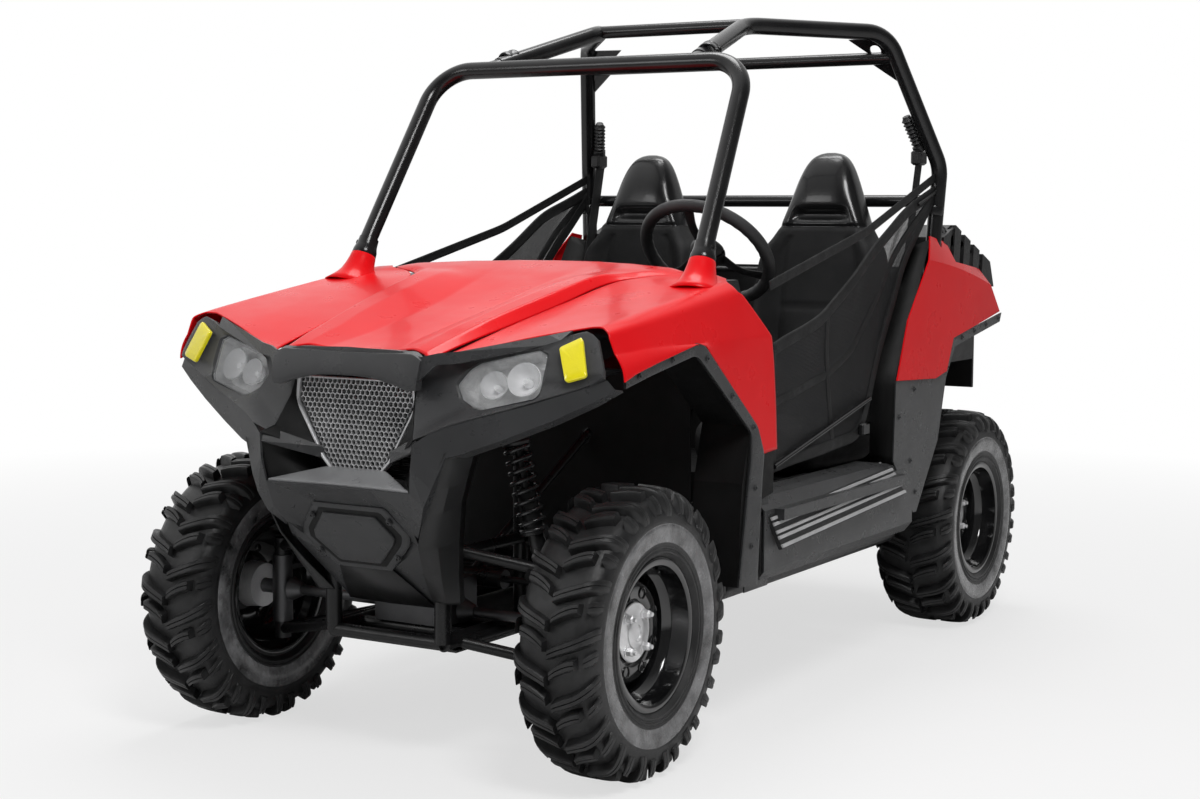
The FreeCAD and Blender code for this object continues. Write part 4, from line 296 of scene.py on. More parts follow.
def pillow(surface, line, out, height, count=72, coat=0):
    """Adds a closed outline as a raised pad: a skirt, a rounded rim and a slightly crowned face."""
    edge = along_line(line, count, True)
    centre = edge.mean(axis=0)
    surface.grid([centre + (edge - centre) * share + out * rise for share, rise in (
        (0, -0.004), (1, -0.004), (1, height * 0.55), (0.985, height * 0.85), (0.955, height), (0.6, height * 1.12),
        (0, height * 1.2))], loop_columns=True, coat=coat)


# Sizes

class UTV_PG_sizes(bpy.types.PropertyGroup):
    """The sizes and colours that a user would change"""

    panel_red: bpy.props.FloatVectorProperty(
        name="Panel Red", description="Colour of the hood and fenders", subtype="COLOR", min=0, max=1,
        default=(0.78, 0.004, 0.008))
    panel_wall: bpy.props.FloatProperty(
        name="Panel Wall", description="Thickness of the hood and fenders", unit="LENGTH", min=0.001, default=0.0035)
    lug_pitches: bpy.props.IntProperty(
        name="Lug Pitches", description="Lugs of each kind round one side of a tyre", min=8, default=17)
    net_sag: bpy.props.FloatProperty(
        name="Net Sag", description="How far a side net draws in between its corners", unit="LENGTH", default=0.012)
    spring_turns: bpy.props.FloatProperty(
        name="Spring Turns", description="Turns of each coil spring", min=3, default=9.0)
    mesh_pitch: bpy.props.FloatProperty(
        name="Grille Pitch", description="Distance between the cells of the grille", unit="LENGTH", min=0.006,
        default=0.0125)
    screw_radius: bpy.props.FloatProperty(
        name="Screw Radius", description="Radius of the trim's screw heads", unit="LENGTH", default=0.0065)
    key_power: bpy.props.FloatProperty(
        name="Key Power", description="Power of the key light", unit="POWER", default=150.0)


# Finishes

class Tree:
    """A node tree in which one call makes a node, sets its values and links its inputs."""

    def __init__(self, owner):
        owner.use_nodes = True
        self.owner, self.nodes = owner, owner.node_tree.nodes
        self.main = self.nodes.get("Principled BSDF")
        self.place = self.add("TexCoord", output="Object")

    def set(self, node, inputs):
        """Sets a node's inputs by name or number; an input given another node's output is linked to it."""
        for key, value in inputs.items():
            if isinstance(value, bpy.types.NodeSocket):
                self.owner.node_tree.links.new(value, node.inputs[key])
            else:
                node.inputs[key].default_value = value

    def add(self, kind, inputs=None, output=0, **settings):
        """The output of a new node."""
        node = self.nodes.new("ShaderNode" + kind)
        for name, value in settings.items():
            setattr(node, name, value)
        self.set(node, inputs or {})
        return node.outputs[output]

    def mix(self, share, first, second, end):
        """Sends two shaders, mixed by a share of the second, to the tree's end."""
        self.set(self.nodes[end], {"Surface": self.add("MixShader", {0: share, 1: first, 2: second})})

    def noise(self, scale, detail=4.0, rough=0.55, stretch=None):
        """A noise pattern at a scale of features per metre, stretched along an axis if asked."""
        place = self.add("Mapping", {"Vector": self.place, "Scale": stretch}) if stretch else self.place
        return self.add("TexNoise", {"Scale": scale, "Detail": detail, "Roughness": rough, "Vector": place})

    def ramp(self, source, low, high, a, b):
        """A colour or grey that goes from a to b as the source goes from low to high."""
        made = self.add("ValToRGB", {"Fac": source})
        for stop, position, colour in zip(made.node.color_ramp.elements, (low, high), (a, b)):
            stop.position = position
            stop.color = (*np.broadcast_to(colour, 3), 1)
        return made

    def relief(self, height, depth):
        """Bumps of a depth in metres on the main shader's normal."""
        self.set(self.main, {"Normal": self.add("Bump", {"Strength": 1.0, "Distance": depth, "Height": height})})


def moulded(tree, colour, rough, grain=1400, depth=0.00035, wear=0.35, coat=0, patch=9, dull=0.5):
    """Moulded or painted skin: a fine grain, slow colour changes, and dusty duller patches."""
    dark = [c * (1 - wear) for c in colour]
    light = [min(c * (1 + wear) + 0.01 * wear, 1) for c in colour]
    tree.set(tree.main, {
        "Base Color": tree.ramp(tree.noise(patch, 5.0), 0.3, 0.7, dark, light),
        "Roughness": tree.ramp(tree.noise(patch * 3), 0.3, 0.75, rough * 0.85, min(rough * 1.2, 1)),
        "Specular IOR Level": dull,
    })
    if coat:
        tree.set(tree.main, {"Coat Weight": coat, "Coat Roughness": 0.06})
    tree.relief(tree.noise(grain, 3.0), depth)


def metal(tree, colour, rough, stretch=None, grain=900, metallic=1.0, depth=0.0001):
    """Bare metal: brushed along an axis if asked, with stains and fine scratches."""
    fine = tree.noise(grain, 4.0, 0.6, stretch)
    tree.set(tree.main, {
        "Metallic": metallic,
        "Base Color": tree.ramp(tree.noise(14.0, 6.0), 0.3, 0.75, [c * 0.72 for c in colour], colour),
        "Roughness": tree.ramp(fine, 0.25, 0.8, rough * 0.7, min(rough * 1.4, 1)),
    })
    tree.relief(fine, depth)


def clear(tree):
    """A clear moulded cover: glass that lets shadow rays through, faintly fluted."""
    tree.set(tree.main, {"Roughness": 0.03, "Base Color": (0.92, 0.94, 0.95, 1), "Specular IOR Level": 0.6})
    edge = tree.add("Fresnel", {"IOR": 1.45})
    share = tree.add("Math", {0: edge, 1: 0.9, 2: 0.06}, operation="MULTIPLY_ADD")
    tree.mix(share, tree.add("BsdfTransparent"), tree.main.outputs[0], "Material Output")
    tree.relief(tree.noise(120, 2.0), 0.0003)


def netting(tree):
    """Fine woven mesh: two crossed sets of threads with clear holes between them."""
    tree.set(tree.main, {"Base Color": (0.012, 0.012, 0.013, 1), "Roughness": 0.7})
    threads = [tree.add("TexWave", {"Scale": 95.0, "Distortion": 0.6, "Vector": tree.place}, "Fac",
                        bands_direction=way) for way in ("Y", "Z")]
    weave = tree.add("Math", {0: threads[0], 1: threads[1]}, operation="MAXIMUM")
    share = tree.ramp(weave, 0.45, 0.75, 0.22, 1.0)
    tree.relief(weave, 0.0006)
    tree.mix(share, tree.add("BsdfTransparent"), tree.main.outputs[0], "Material Output")


# Finish: its maker and name; for skins the colour, roughness, grain per metre, its depth, wear, coat, patches per
# metre and specular level; for metals the colour, roughness, stretch, grain per metre and metallic share
MATERIALS = {
    "black": (moulded, "grained_plastic", (0.01, 0.01, 0.0105), 0.36, 1500, 0.0005, 0.25),
    "grey": (moulded, "fascia_plastic", (0.022, 0.0225, 0.024), 0.3, 1500, 0.0005, 0.18),
    # The shelf finish is the fascia's dark plastic made light grey: a painted highlight for the top light on the shelf
    # plate's upward face.
    "shelf": (moulded, "shelf_plastic", (0.24, 0.242, 0.248), 0.3, 1500, 0.0005, 0.18),
    "liner": (moulded, "inner_plastic", (0.003, 0.003, 0.0031), 0.5, 1200, 0.0006, 0.3, 0, 9, 0.25),
    "tube": (moulded, "tube_coat", (0.008, 0.008, 0.0085), 0.2, 1100, 0.00012, 0.3, 0.15, 9, 0.4),
    "steel": (moulded, "chassis_coat", (0.008, 0.008, 0.0085), 0.3, 900, 0.0002, 0.35, 0, 9, 0.35),
    "rim": (moulded, "rim_enamel", (0.007, 0.007, 0.0075), 0.1, 800, 0.00005, 0.2, 0.8),
    "tyre": (moulded, "tyre_rubber", (0.015, 0.015, 0.0155), 0.34, 700, 0.0006, 0.45, 0, 22, 0.38),
    # The sidewall band is the tyre's own dark rubber made light grey: a painted sheen where light glances off the
    # bulging wall.
    "sidewall": (moulded, "sidewall_rubber", (0.11, 0.11, 0.113), 0.26, 420, 0.0005, 0.85, 0.6, 20),
    "seat": (moulded, "seat_vinyl", (0.01, 0.01, 0.0105), 0.22, 420, 0.0003, 0.2, 0.25, 9, 0.4),
    "seat_cloth": (moulded, "seat_cloth", (0.008, 0.008, 0.0085), 0.55, 1300, 0.0012, 0.3, 0, 9, 0.3),
    "strap": (moulded, "webbing", (0.012, 0.012, 0.0125), 0.55, 1000, 0.001, 0.25, 0, 9, 0.3),
    "iron": (metal, "cast_iron", (0.16, 0.16, 0.165), 0.5),
    "silver": (metal, "machined_hub", (0.9, 0.9, 0.91), 0.32, None, 900, 0.45),
    "alloy": (metal, "cast_alloy", (0.42, 0.42, 0.43), 0.42),
    "stainless": (metal, "muffler_steel", (0.48, 0.46, 0.43), 0.3, (1, 40, 40), 60),
    "red_lens": (moulded, "red_lens", (0.45, 0.012, 0.012), 0.08, 300, 0.0003, 0.1, 1.0),
    "amber": (moulded, "amber_lens", (0.92, 0.8, 0.01), 0.12, 260, 0.0004, 0.06, 0.9),
    # The bowl and dish finishes are near-white and diffuse where the real reflectors are chrome: a painted reflection
    # of the bright room.
    "bowl": (moulded, "reflector_wall", (0.86, 0.86, 0.87), 0.16, 400, 0.0001, 0.2, 0.5, 60),
    "dish": (moulded, "reflector_dish", (0.88, 0.88, 0.89), 0.12, 400, 0.0001, 0.1, 0.8),
    "rib": (moulded, "step_rib", (0.46, 0.46, 0.465), 0.35, 900, 0.0003, 0.2),
    "spring": (moulded, "spring_coat", (0.02, 0.02, 0.021), 0.2, 900, 0.0002, 0.2, 0.4),
    "clear": (clear, "clear_cover"),
    "mesh": (metal, "grille_mesh", (0.7, 0.7, 0.71), 0.38, None, 900, 0.7),
    "net": (netting, "net_mesh"),
    "rubber": (moulded, "grip_rubber", (0.022, 0.022, 0.023), 0.48, 900, 0.0008, 0.25),
}
CAD_FINISH = {
    "red": "hood front_fender_left front_fender_right rear_fender_left rear_fender_right",
    "grey": "front_bumper nose_trim rockers rear_trims",
    "black": "dash rear_vents cargo_bed tail_panel headlamp_housings skid_plate grille",
    "liner": "arch_liners floor_tub",
    "tube": "front_hoop rear_cage header_clamps rear_bumper",
    "steel": "main_frame front_tower rear_deck hitch_receiver front_arms rear_arms tie_rods steering_column pedals"
             " shocks",
    "iron": "knuckle_left knuckle_right rear_carriers front_drive rear_drive",
    "rim": "rim_front_left rim_front_right rim_rear_left rim_rear_right",
    "tyre": "tyre_front_left tyre_front_right tyre_rear_left tyre_rear_right",
    "seat": "seat_left seat_right",
    "strap": "seat_belts side_net_left side_net_right",
    "alloy": "engine_block",
    "stainless": "muffler",
    "red_lens": "tail_lamps",
    "amber": "side_markers",
    "rubber": "steering_wheel gear_lever",
    "silver": "headlamp_lenses",
}
SOFT_EDGES = {
    "front_bumper": 0.0035, "nose_trim": 0.003, "rear_trims": 0.002, "rockers": 0.004, "rear_vents": 0.003,
    "dash": 0.006, "arch_liners": 0.002, "tail_lamps": 0.003, "side_markers": 0.002, "cargo_bed": 0.003,
    "tail_panel": 0.003, "skid_plate": 0.002, "engine_block": 0.008, "gear_lever": 0.002,
}


class UTV_OT_frame_finish(bpy.types.Operator):
    """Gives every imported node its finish"""

    bl_idname = "utv.frame_finish"
    bl_label = "Frame Finish"

    def execute(self, context):
        red = (moulded, "red_panel", tuple(context.scene.utv_sizes.panel_red), 0.3, 700, 0.00006, 0.04, 0.12, 3, 0.12)
        for key, (make, name, *values) in {"red": red, **MATERIALS}.items():
            tree = Tree(bpy.data.materials.new(name))
            make(tree, *values)
            FINISH[key] = tree.owner
            if key == "grey":
                tree.set(tree.main, {"Sheen Weight": 0.16, "Sheen Roughness": 0.35})
        for finish, names in CAD_FINISH.items():
            for name in names.split():
                NODES[name].data.materials.clear()
                NODES[name].data.materials.append(FINISH[finish])
        for name, width in SOFT_EDGES.items():
            edge = NODES[name].modifiers.new("Edges", "BEVEL")
            edge.width = width
            edge.segments = 2
            edge.limit_method = "ANGLE"
            edge.angle_limit = math.radians(25)
        return {"FINISHED"}


# Stage

# Light: place, aim, power (the key light's is one of the sizes) and width
LIGHTS = {
    "key_light": ((3.0, -3.2, 4.8), (0, -0.2, 0.7), None, 1.6),
    "front_light": ((-2.6, -5.2, 2.6), (0, -0.6, 0.6), 30, 1.6),
    "top_light": ((-0.5, 0.8, 5.2), (0, 0, 0.8), 110, 2.2),
}
WHITE = (1, 1, 1, 1)
FLOOR_REACH = 40
# The photograph's camera: focal length and width in pixels, width of the film in millimetres, angles in radians
FOCAL_PIXELS, PHOTO_WIDTH, FILM_WIDTH = 1964.85, 1200.0, 36.0
YAW, PITCH, ROLL = 0.5401, -0.0926, 0.0048
EYE_PLACE = (2603.3, -4566.1, 1201.9)


def shows_white(tree):
    """One for the rays that show the background: from the camera and through a clear cover."""
    rays = [tree.add("LightPath", output=kind) for kind in ("Is Camera Ray", "Is Transmission Ray")]
    return tree.add("Math", {0: rays[0], 1: rays[1]}, operation="MAXIMUM")


class UTV_OT_stage(bpy.types.Operator):
    """Sets the floor, the soft lights and the camera"""

    bl_idname = "utv.stage"
    bl_label = "Studio"

    def execute(self, context):
        scene = context.scene
        scene.view_settings.view_transform = "Standard"
        mesh = bpy.data.meshes.new("studio_floor")
        mesh.from_pydata([(x * FLOOR_REACH, y * FLOOR_REACH, 0) for x in (-1, 1) for y in (-1, 1)], [], [(0, 2, 3, 1)])
        tree = Tree(bpy.data.materials.new("floor_paper"))
        tree.set(tree.main, {"Base Color": (0.8, 0.8, 0.8, 1), "Roughness": 0.9})
        reach = tree.add("VectorMath", {0: tree.place}, "Value", operation="LENGTH")
        glow = tree.add("MapRange", {"Value": reach, "From Min": 1.8, "From Max": 5.5, "To Min": 0.66})
        share = tree.add("Math", {0: shows_white(tree), 1: glow}, operation="MULTIPLY")
        tree.mix(share, tree.main.outputs[0], tree.add("Emission", {"Color": WHITE}), "Material Output")
        mesh.materials.append(tree.owner)
        placed("studio_floor", mesh)

        scene.world = bpy.data.worlds.new("studio")
        tree = Tree(scene.world)
        ambient = tree.nodes["Background"]
        tree.set(ambient, {"Color": WHITE, "Strength": 0.3})
        facing = tree.add("VectorMath", {0: tree.place.node.outputs["Generated"], 1: (-0.7, 0.35, 0.62)},
                          "Value", operation="DOT_PRODUCT")
        level = tree.add("MapRange", {"Value": facing, "From Min": 0.0, "From Max": 0.8, "To Min": 0.1})
        gloss = tree.add("MixShader", {0: tree.add("LightPath", output="Is Glossy Ray"), 1: ambient.outputs[0],
                                       2: tree.add("Background", {"Color": WHITE, "Strength": level})})
        tree.mix(shows_white(tree), gloss, tree.add("Background", {"Color": WHITE}), "World Output")

        for name, (place, aim, power, size) in LIGHTS.items():
            lamp = bpy.data.lights.new(name, "AREA")
            lamp.energy = power or scene.utv_sizes.key_power
            lamp.size = size
            item = placed(name, lamp)
            item.location = place
            item.rotation_euler = (Vector(aim) - Vector(place)).to_track_quat("-Z", "Y").to_euler()

        eye = bpy.data.cameras.new("photo_eye")
        eye.sensor_width = FILM_WIDTH
        eye.lens = FOCAL_PIXELS / PHOTO_WIDTH * FILM_WIDTH
        ahead = Vector((-math.sin(YAW) * math.cos(PITCH), math.cos(YAW) * math.cos(PITCH), math.sin(PITCH)))
        right = Vector((math.cos(YAW), math.sin(YAW), 0))
        up = right.cross(ahead)
        side = math.cos(ROLL) * right + math.sin(ROLL) * up
        top = math.cos(ROLL) * up - math.sin(ROLL) * right
        scene.camera = placed("photo_eye", eye)
        scene.camera.matrix_world = Matrix.Translation(at(EYE_PLACE)[0]) @ Matrix(
            (side, top, -ahead)).transposed().to_4x4()
        return {"FINISHED"}


# Wheels

# The tyre's outer half section from the bead over the bulging wall and its ribs to the crown, for the front tyre
CARCASS = (
    (85, 173.5), (88.2, 176.5), (88.4, 180), (86.2, 182.2), (86.2, 185), (88.2, 186.8), (88.4, 189.2), (86.8, 191),
    (88.4, 199), (90.2, 208), (91.8, 218), (92.8, 228), (93.2, 235), (92.4, 237.2), (92.4, 239.5), (93.4, 241.5),
    (93, 248), (92, 258), (89, 269), (84, 279), (76, 287), (64, 292.5), (46, 295.5), (23, 296.8), (0, 297.2),
)
FRONT_HALF = 0.096
BEAD_INSET = 0.0033
# Radii in millimetres between which the tyre wall takes the painted sheen finish.
PAINTED_SHEEN_BAND = (194, 237.5)
# A lug's way from the tyre's centre to its wall: along, radius at the top and at the foot
LUG_ROUTE = np.array([
    (4, 317.2, 294.5), (22, 317.2, 294.5), (42, 316.8, 293.5), (60, 315, 290.5), (72.5, 311, 285), (82, 304, 279),
    (88.5, 295, 272), (92.5, 285, 266), (95, 274, 262), (95.5, 264, 258.5), (93.8, 255, 254),
]) / 1000
# Shares of the way from and to, lead of the arc from and to, half widths at the start, middle and end
LUGS = (
    (0.0, 1.0, 0.05, -0.004, 0.0105, 0.0125, 0.015),
    (0.5, 0.9, 0.062, 0.05, 0.011, 0.013, 0.0125),
    (0.02, 0.34, 0.094, 0.066, 0.0095, 0.0115, 0.0105),
)
# Shares of the half width by shares of the height
LUG_SECTION = ((-1.34, 0), (-1.06, 0.72), (-0.98, 0.9), (-0.8, 1), (-0.12, 1), (0, 0.86), (0.12, 1), (0.8, 1),
               (0.98, 0.9), (1.06, 0.72), (1.34, 0))


def lugs(half, turns):
    """Every lug of one tyre: a chamfered ridge section carried from the crown round the shoulder to the wall.

    A point is at an angle of its pitch plus lead over radius, and its section widens from the top to the foot.
    """
    made = []
    for share_from, share_to, lead_from, lead_to, *widths in LUGS:
        share = np.linspace(share_from, share_to, 12)
        t = np.linspace(0, 1, 12)
        along, top, low = (np.interp(share, np.linspace(0, 1, len(LUG_ROUTE)), line) for line in LUG_ROUTE.T)
        inset = np.clip((share - 0.55) / 0.3, 0, 1) * 0.0085
        lead = lead_from + (lead_to - lead_from) * (1 - (1 - t) ** 1.7)
        wide = np.interp(t, (0, 0.5, 1), widths)
        made.append(np.stack([np.stack([(along - inset * (1 - rise)) * half / FRONT_HALF, low + (top - low) * rise,
                                        lead + side_share * wide], axis=-1)
                              for side_share, rise in LUG_SECTION], axis=1))
    along, radius, lead = np.moveaxis(np.array(made), -1, 0)
    copies = []
    for side, shift in ((1, 0.0), (-1, 0.5)):
        angle = ((np.arange(turns) + shift) * TAU / turns)[:, None, None, None] + lead / TYRE_RADIUS
        copies.append(np.stack(np.broadcast_arrays(along * side, radius * np.cos(angle), radius * np.sin(angle)),
                               axis=-1))
    made = np.concatenate(copies).reshape(-1, *along.shape[1:], 3)
    first, last = (np.broadcast_to(end.mean(axis=2, keepdims=True), end.shape) for end in (made[:, :1], made[:, -1:]))
    return np.concatenate([first, made, last], axis=1)


class UTV_OT_tyres(bpy.types.Operator):
    """Makes the four tyres: a ribbed carcass with rows of hooked lugs that lead at the centre"""

    bl_idname = "utv.tyres"
    bl_label = "Tyres"

    def execute(self, context):
        for end, (x, y, half, rim_half) in TRACK.items():
            bead = (rim_half - BEAD_INSET) * 1000
            outer = np.concatenate([[(bead, 153), (bead, 166.8), (bead + 3, 169)],
                                    np.array(CARCASS) * (half / FRONT_HALF, 1)])
            profile = np.concatenate([outer, (outer[::-1] * (-1, 1))[1:]])
            # Profile points within the band take the second finish, the painted sheen.
            coats = ((profile[:, 1] > PAINTED_SHEEN_BAND[0]) & (profile[:, 1] < PAINTED_SHEEN_BAND[1])).astype(int)
            skin = turned(profile, (0, 0, 0), turns=120)
            skin = np.concatenate([skin, skin[:, :1]], axis=1)
            edges = [0, *(np.flatnonzero(np.diff(coats)) + 1), skin.shape[1] - 1]
            for side, name in SIDES:
                tyre = Surface()
                for a, b in zip(edges, edges[1:]):
                    tyre.grid(skin[:, a:b + 1], loop_rows=True, coat=int(coats[a]))
                tyre.stack(lugs(half, context.scene.utv_sizes.lug_pitches), loop_columns=True)
                tyre.moved((side, 1, 1), (side * x, y, TYRE_RADIUS))
                tyre.piece(f"lugged_tyre_{end}_{name}", "tyre sidewall", (f"tyre_{end}_{name}",), 32,
                           body=f"wheel_{end}_{name}", slot="tyre_rubber")
        return {"FINISHED"}


def rim_profile(half):
    """A stamped wheel's barrel as a closed (along, radius) line, with rolled flanges and a drop centre."""
    r = 152.4
    outer = [
        (-half, r + 4), (-half, r + 11), (-half + 1.2, r + 13.6), (-half + 3, r + 13.6), (-half + 4, r + 4),
        (-half + 6, r), (-half + 22, r), (-half + 34, r - 16), (half - 60, r - 16), (half - 48, r), (half - 6, r),
        (half - 4, r + 4), (half - 3, r + 13.6), (half - 1.2, r + 13.6), (half, r + 11), (half, r + 4),
    ]
    inner = [(half - 3, r - 3), (half - 44, r - 3.5), (half - 50, r - 6), (half - 62, r - 19), (-half + 32, r - 19),
             (-half + 20, r - 3.5), (-half + 3, r - 3)]
    return outer + inner + outer[:1]


DISC = (
    (16, 55), (20, 56), (20, 66), (23, 70), (25, 76), (25, 98), (23, 104), (17, 110), (4, 121), (-6, 127.5),
    (-11, 131.5), (-20, 133.5), (-32, 133.8), (-32, 130.8), (-21, 130), (-12, 127), (2, 118.5), (14, 107.5), (19, 100),
    (21, 78), (16, 70), (14, 56), (16, 55),
)
HUB = ((-30, 17.6), (-30, 52), (14, 55.5), (22, 64), (25, 64.8), (26.6, 63), (27, 40), (29, 35), (32, 33.5), (33, 31),
       (34, 18), (30, 16.5), (30, 0.1))
NUT = ((0, 12.5), (3, 12.5), (4, 9.5), (15, 9.5), (18, 7), (18.5, 0.1))
STUD = ((12, 5.2), (24, 5.2), (25, 4), (25, 0.1))
DIMPLE = ((-4, 13), (2.2, 13.26), (3, 12.22), (2, 10.92), (-6, 9.62), (-10, 5.85), (-10, 0.01))
VALVE = ((0, 4.5), (6, 4.5), (8, 3.2), (30, 3.2), (31, 0.1))


def round_wheel(count, first, radius, along):
    """Places round the wheel's line, from a first angle in degrees."""
    for k in range(count):
        angle = math.radians(first + 360 * k / count)
        yield np.array((along, radius * math.cos(angle), radius * math.sin(angle)))


class UTV_OT_rims(bpy.types.Operator):
    """Makes the four stamped wheels with their dimpled discs, hubs, caps and nuts"""

    bl_idname = "utv.rims"
    bl_label = "Rims"

    def execute(self, context):
        for end, (x, y, _, half) in TRACK.items():
            for side, name in SIDES:
                rim = Surface()
                rim.lathe(rim_profile(half * 1000), (0, 0, 0), turns=96)
                rim.lathe(DISC, (0, 0, 0), turns=96)
                rim.lathe(HUB, (0, 0, 0), turns=56, coat=1)
                for base in round_wheel(4, 45, 0.05, 0.0265):
                    rim.lathe(NUT, base, turns=6, coat=1)
                    rim.lathe(STUD, base, turns=12, coat=1)
                for base in round_wheel(8, 22.5, 0.087, 0.025):
                    rim.lathe(DIMPLE, base, turns=24)
                rim.lathe(VALVE, (half - 0.046, 0.04, 0.1395), (1.0, 0.15, -0.45), 12)
                rim.moved((side, 1, 1), (side * x, y, TYRE_RADIUS))
                rim.piece(f"stamped_rim_{end}_{name}", "rim silver", (f"rim_{end}_{name}",), 35,
                          body=f"wheel_{end}_{name}", slot="rim_steel")
        return {"FINISHED"}


# Panels

# Y of a section, then its points' X and Z from the middle outwards
HOOD_SECTIONS = (
    (-1254, (0, 914), (90, 914), (140, 915), (180, 912), (204, 906)),
    (-1200, (0, 922), (90, 923), (150, 932), (190, 932), (211, 920)),
    (-1100, (0, 941), (80, 942), (150, 960), (200, 962), (224, 944)),
    (-998, (0, 962), (80, 963), (165, 988), (212, 990), (236, 966)),
    (-830, (0, 998), (85, 999), (180, 1029), (236, 1031), (257, 1005)),
    (-668, (0, 1040), (100, 1041), (195, 1063), (255, 1067), (277, 1046)),
    (-587, (0, 1059), (110, 1061), (210, 1072), (290, 1072), (327, 1062)),
    (-531, (0, 1072), (117, 1074), (230, 1082), (360, 1082), (421, 1075)),
    (-415, (0, 1095), (117, 1096), (230, 1098), (360, 1096), (421, 1092)),
)
FENDER_SECTIONS = (
    (-1254, (212, 909), (372, 934), (526, 952), (550, 946), (560, 925)),
    (-1206, (226, 918), (380, 943), (530, 962), (556, 954), (572, 925)),
    (-1100, (236, 944), (390, 966), (540, 981), (566, 972), (584, 925)),
    (-998, (246, 969), (400, 986), (545, 997), (572, 986), (592, 930)),
    (-830, (268, 1009), (410, 1018), (548, 1022), (576, 1008), (598, 930)),
    (-668, (291, 1048), (420, 1049), (550, 1045), (578, 1030), (600, 930)),
    (-587, (342, 1064), (440, 1062), (552, 1056), (580, 1040), (600, 930)),
    (-531, (435, 1077), (480, 1074), (552, 1062), (580, 1044), (600, 930)),
    (-376, (436, 1092), (480, 1088), (552, 1070), (580, 1050), (600, 930)),
)
ARCH_LINE = ((-1150, 862), (-1088, 881), (-1000, 898), (-813, 930), (-780, 922), (-526, 723), (-491, 657), (-408, 667),
             (-376, 690))
HOOP_FOOT = np.array((0.489, -0.587, 1.068))
HOOP_WAY = np.array((-0.06, 0.42, 0.9))
BOSS = ((-52, 74.5), (-36, 60), (-24, 50.5), (-12, 43.5), (6, 37.5), (24, 33.5), (36, 31.8), (40, 30), (40, 27.2),
        (-50, 26.2))


def resampled(sections, rows, columns, soft):
    """Sections as a fine grid in millimetres: cubic along the stations, straight and then softened across."""
    net = np.array([[(x, y, z) for x, z in line] for y, *line in sections], dtype=float)
    flat = smooth_line(net.reshape(len(net), -1), rows).reshape(rows, -1, 3)
    step = np.linalg.norm(np.diff(net, axis=1), axis=2).mean(axis=0)
    knots = np.concatenate([[0], np.cumsum(step)]) / step.sum()
    share = np.linspace(0, 1, columns)
    k = np.clip(np.searchsorted(knots, share, side="right") - 1, 0, len(knots) - 2)
    f = ((share - knots[k]) / (knots[k + 1] - knots[k]))[None, :, None]
    return softened(flat[:, k] * (1 - f) + flat[:, k + 1] * f, soft, 1)


def between_edges(grid, first, last):
    """The grid sampled again so that each column runs from its first to its last Y."""
    y = first + (last - first) * np.linspace(0, 1, len(grid))[:, None]
    columns = [np.stack([np.interp(v, line[:, 1], line[:, 0]), v, np.interp(v, line[:, 1], line[:, 2])], axis=-1)
               for v, line in zip(y.T, np.moveaxis(grid, 1, 0))]
    return np.stack(columns, axis=1)


def hood_grid(rows=90, columns=61):
    """The hood's skin: its half sections lofted, cut to its front and rear lines and mirrored."""
    grid = resampled(HOOD_SECTIONS, rows, columns, 1)
    first = np.interp(grid[0, :, 0], (0, 130, 172, 204), (-1225, -1225, -1240, -1254))
    last = np.interp(grid[-10, :, 0], (0, 117, 421), (-420, -428, -533))
    half = between_edges(grid, first, last)
    return np.concatenate([half[:, :0:-1] * (-1, 1, 1), half], axis=1)


def fender_grid(rows=180, top=58, side=36):
    """A front fender's skin: its top between its front and rear lines, then its side down to the arch line."""
    grid = resampled(FENDER_SECTIONS, rows, top, 2)
    front = np.interp(grid[10, :, 0], (215, 264, 432, 498, 530, 556), (-1250, -1227, -1141, -1108, -1116, -1132))
    rear = np.interp(grid[-60, :, 0], (300, 436, 520, 552, 578, 600), (-531, -531, -552, -585, -590, -452))
    upper = between_edges(grid, front, rear)
    share = np.linspace(0, 1, side)[None, 1:]
    x, y, z = (line[:, None] for line in upper[:, -1].T)
    low = np.interp(y, *np.array(ARCH_LINE).T)
    lower = np.stack([x + (604 - x) * (1 - (1 - share) ** 2), y + np.clip((y + 480) / 40, 0, 1) * 44 * share ** 0.6,
                      z + (low - z) * share], axis=-1)
    return np.concatenate([upper, lower], axis=1)


class UTV_OT_panels(bpy.types.Operator):
    """Makes the red hood and front fenders as smooth pressed skins with creases"""

    bl_idname = "utv.panels"
    bl_label = "Hood And Fenders"

    def execute(self, context):
        wall = context.scene.utv_sizes.panel_wall
        Surface().grid(at(*hood_grid())).piece("pressed_hood", "red", ("hood",), 28, wall, body="hood_lid",
                                               slot="red_plastic")
        for side, name in SIDES:
            fender = Surface().grid(at(*fender_grid()) * (side, 1, 1))
            fender.lathe(BOSS, HOOP_FOOT * (side, 1, 1), HOOP_WAY * (side, 1, 1))
            fender.piece(f"pressed_fender_{name}", "red", (f"front_fender_{name}",), 28, wall, slot="red_plastic")
        return {"FINISHED"}


# Nose

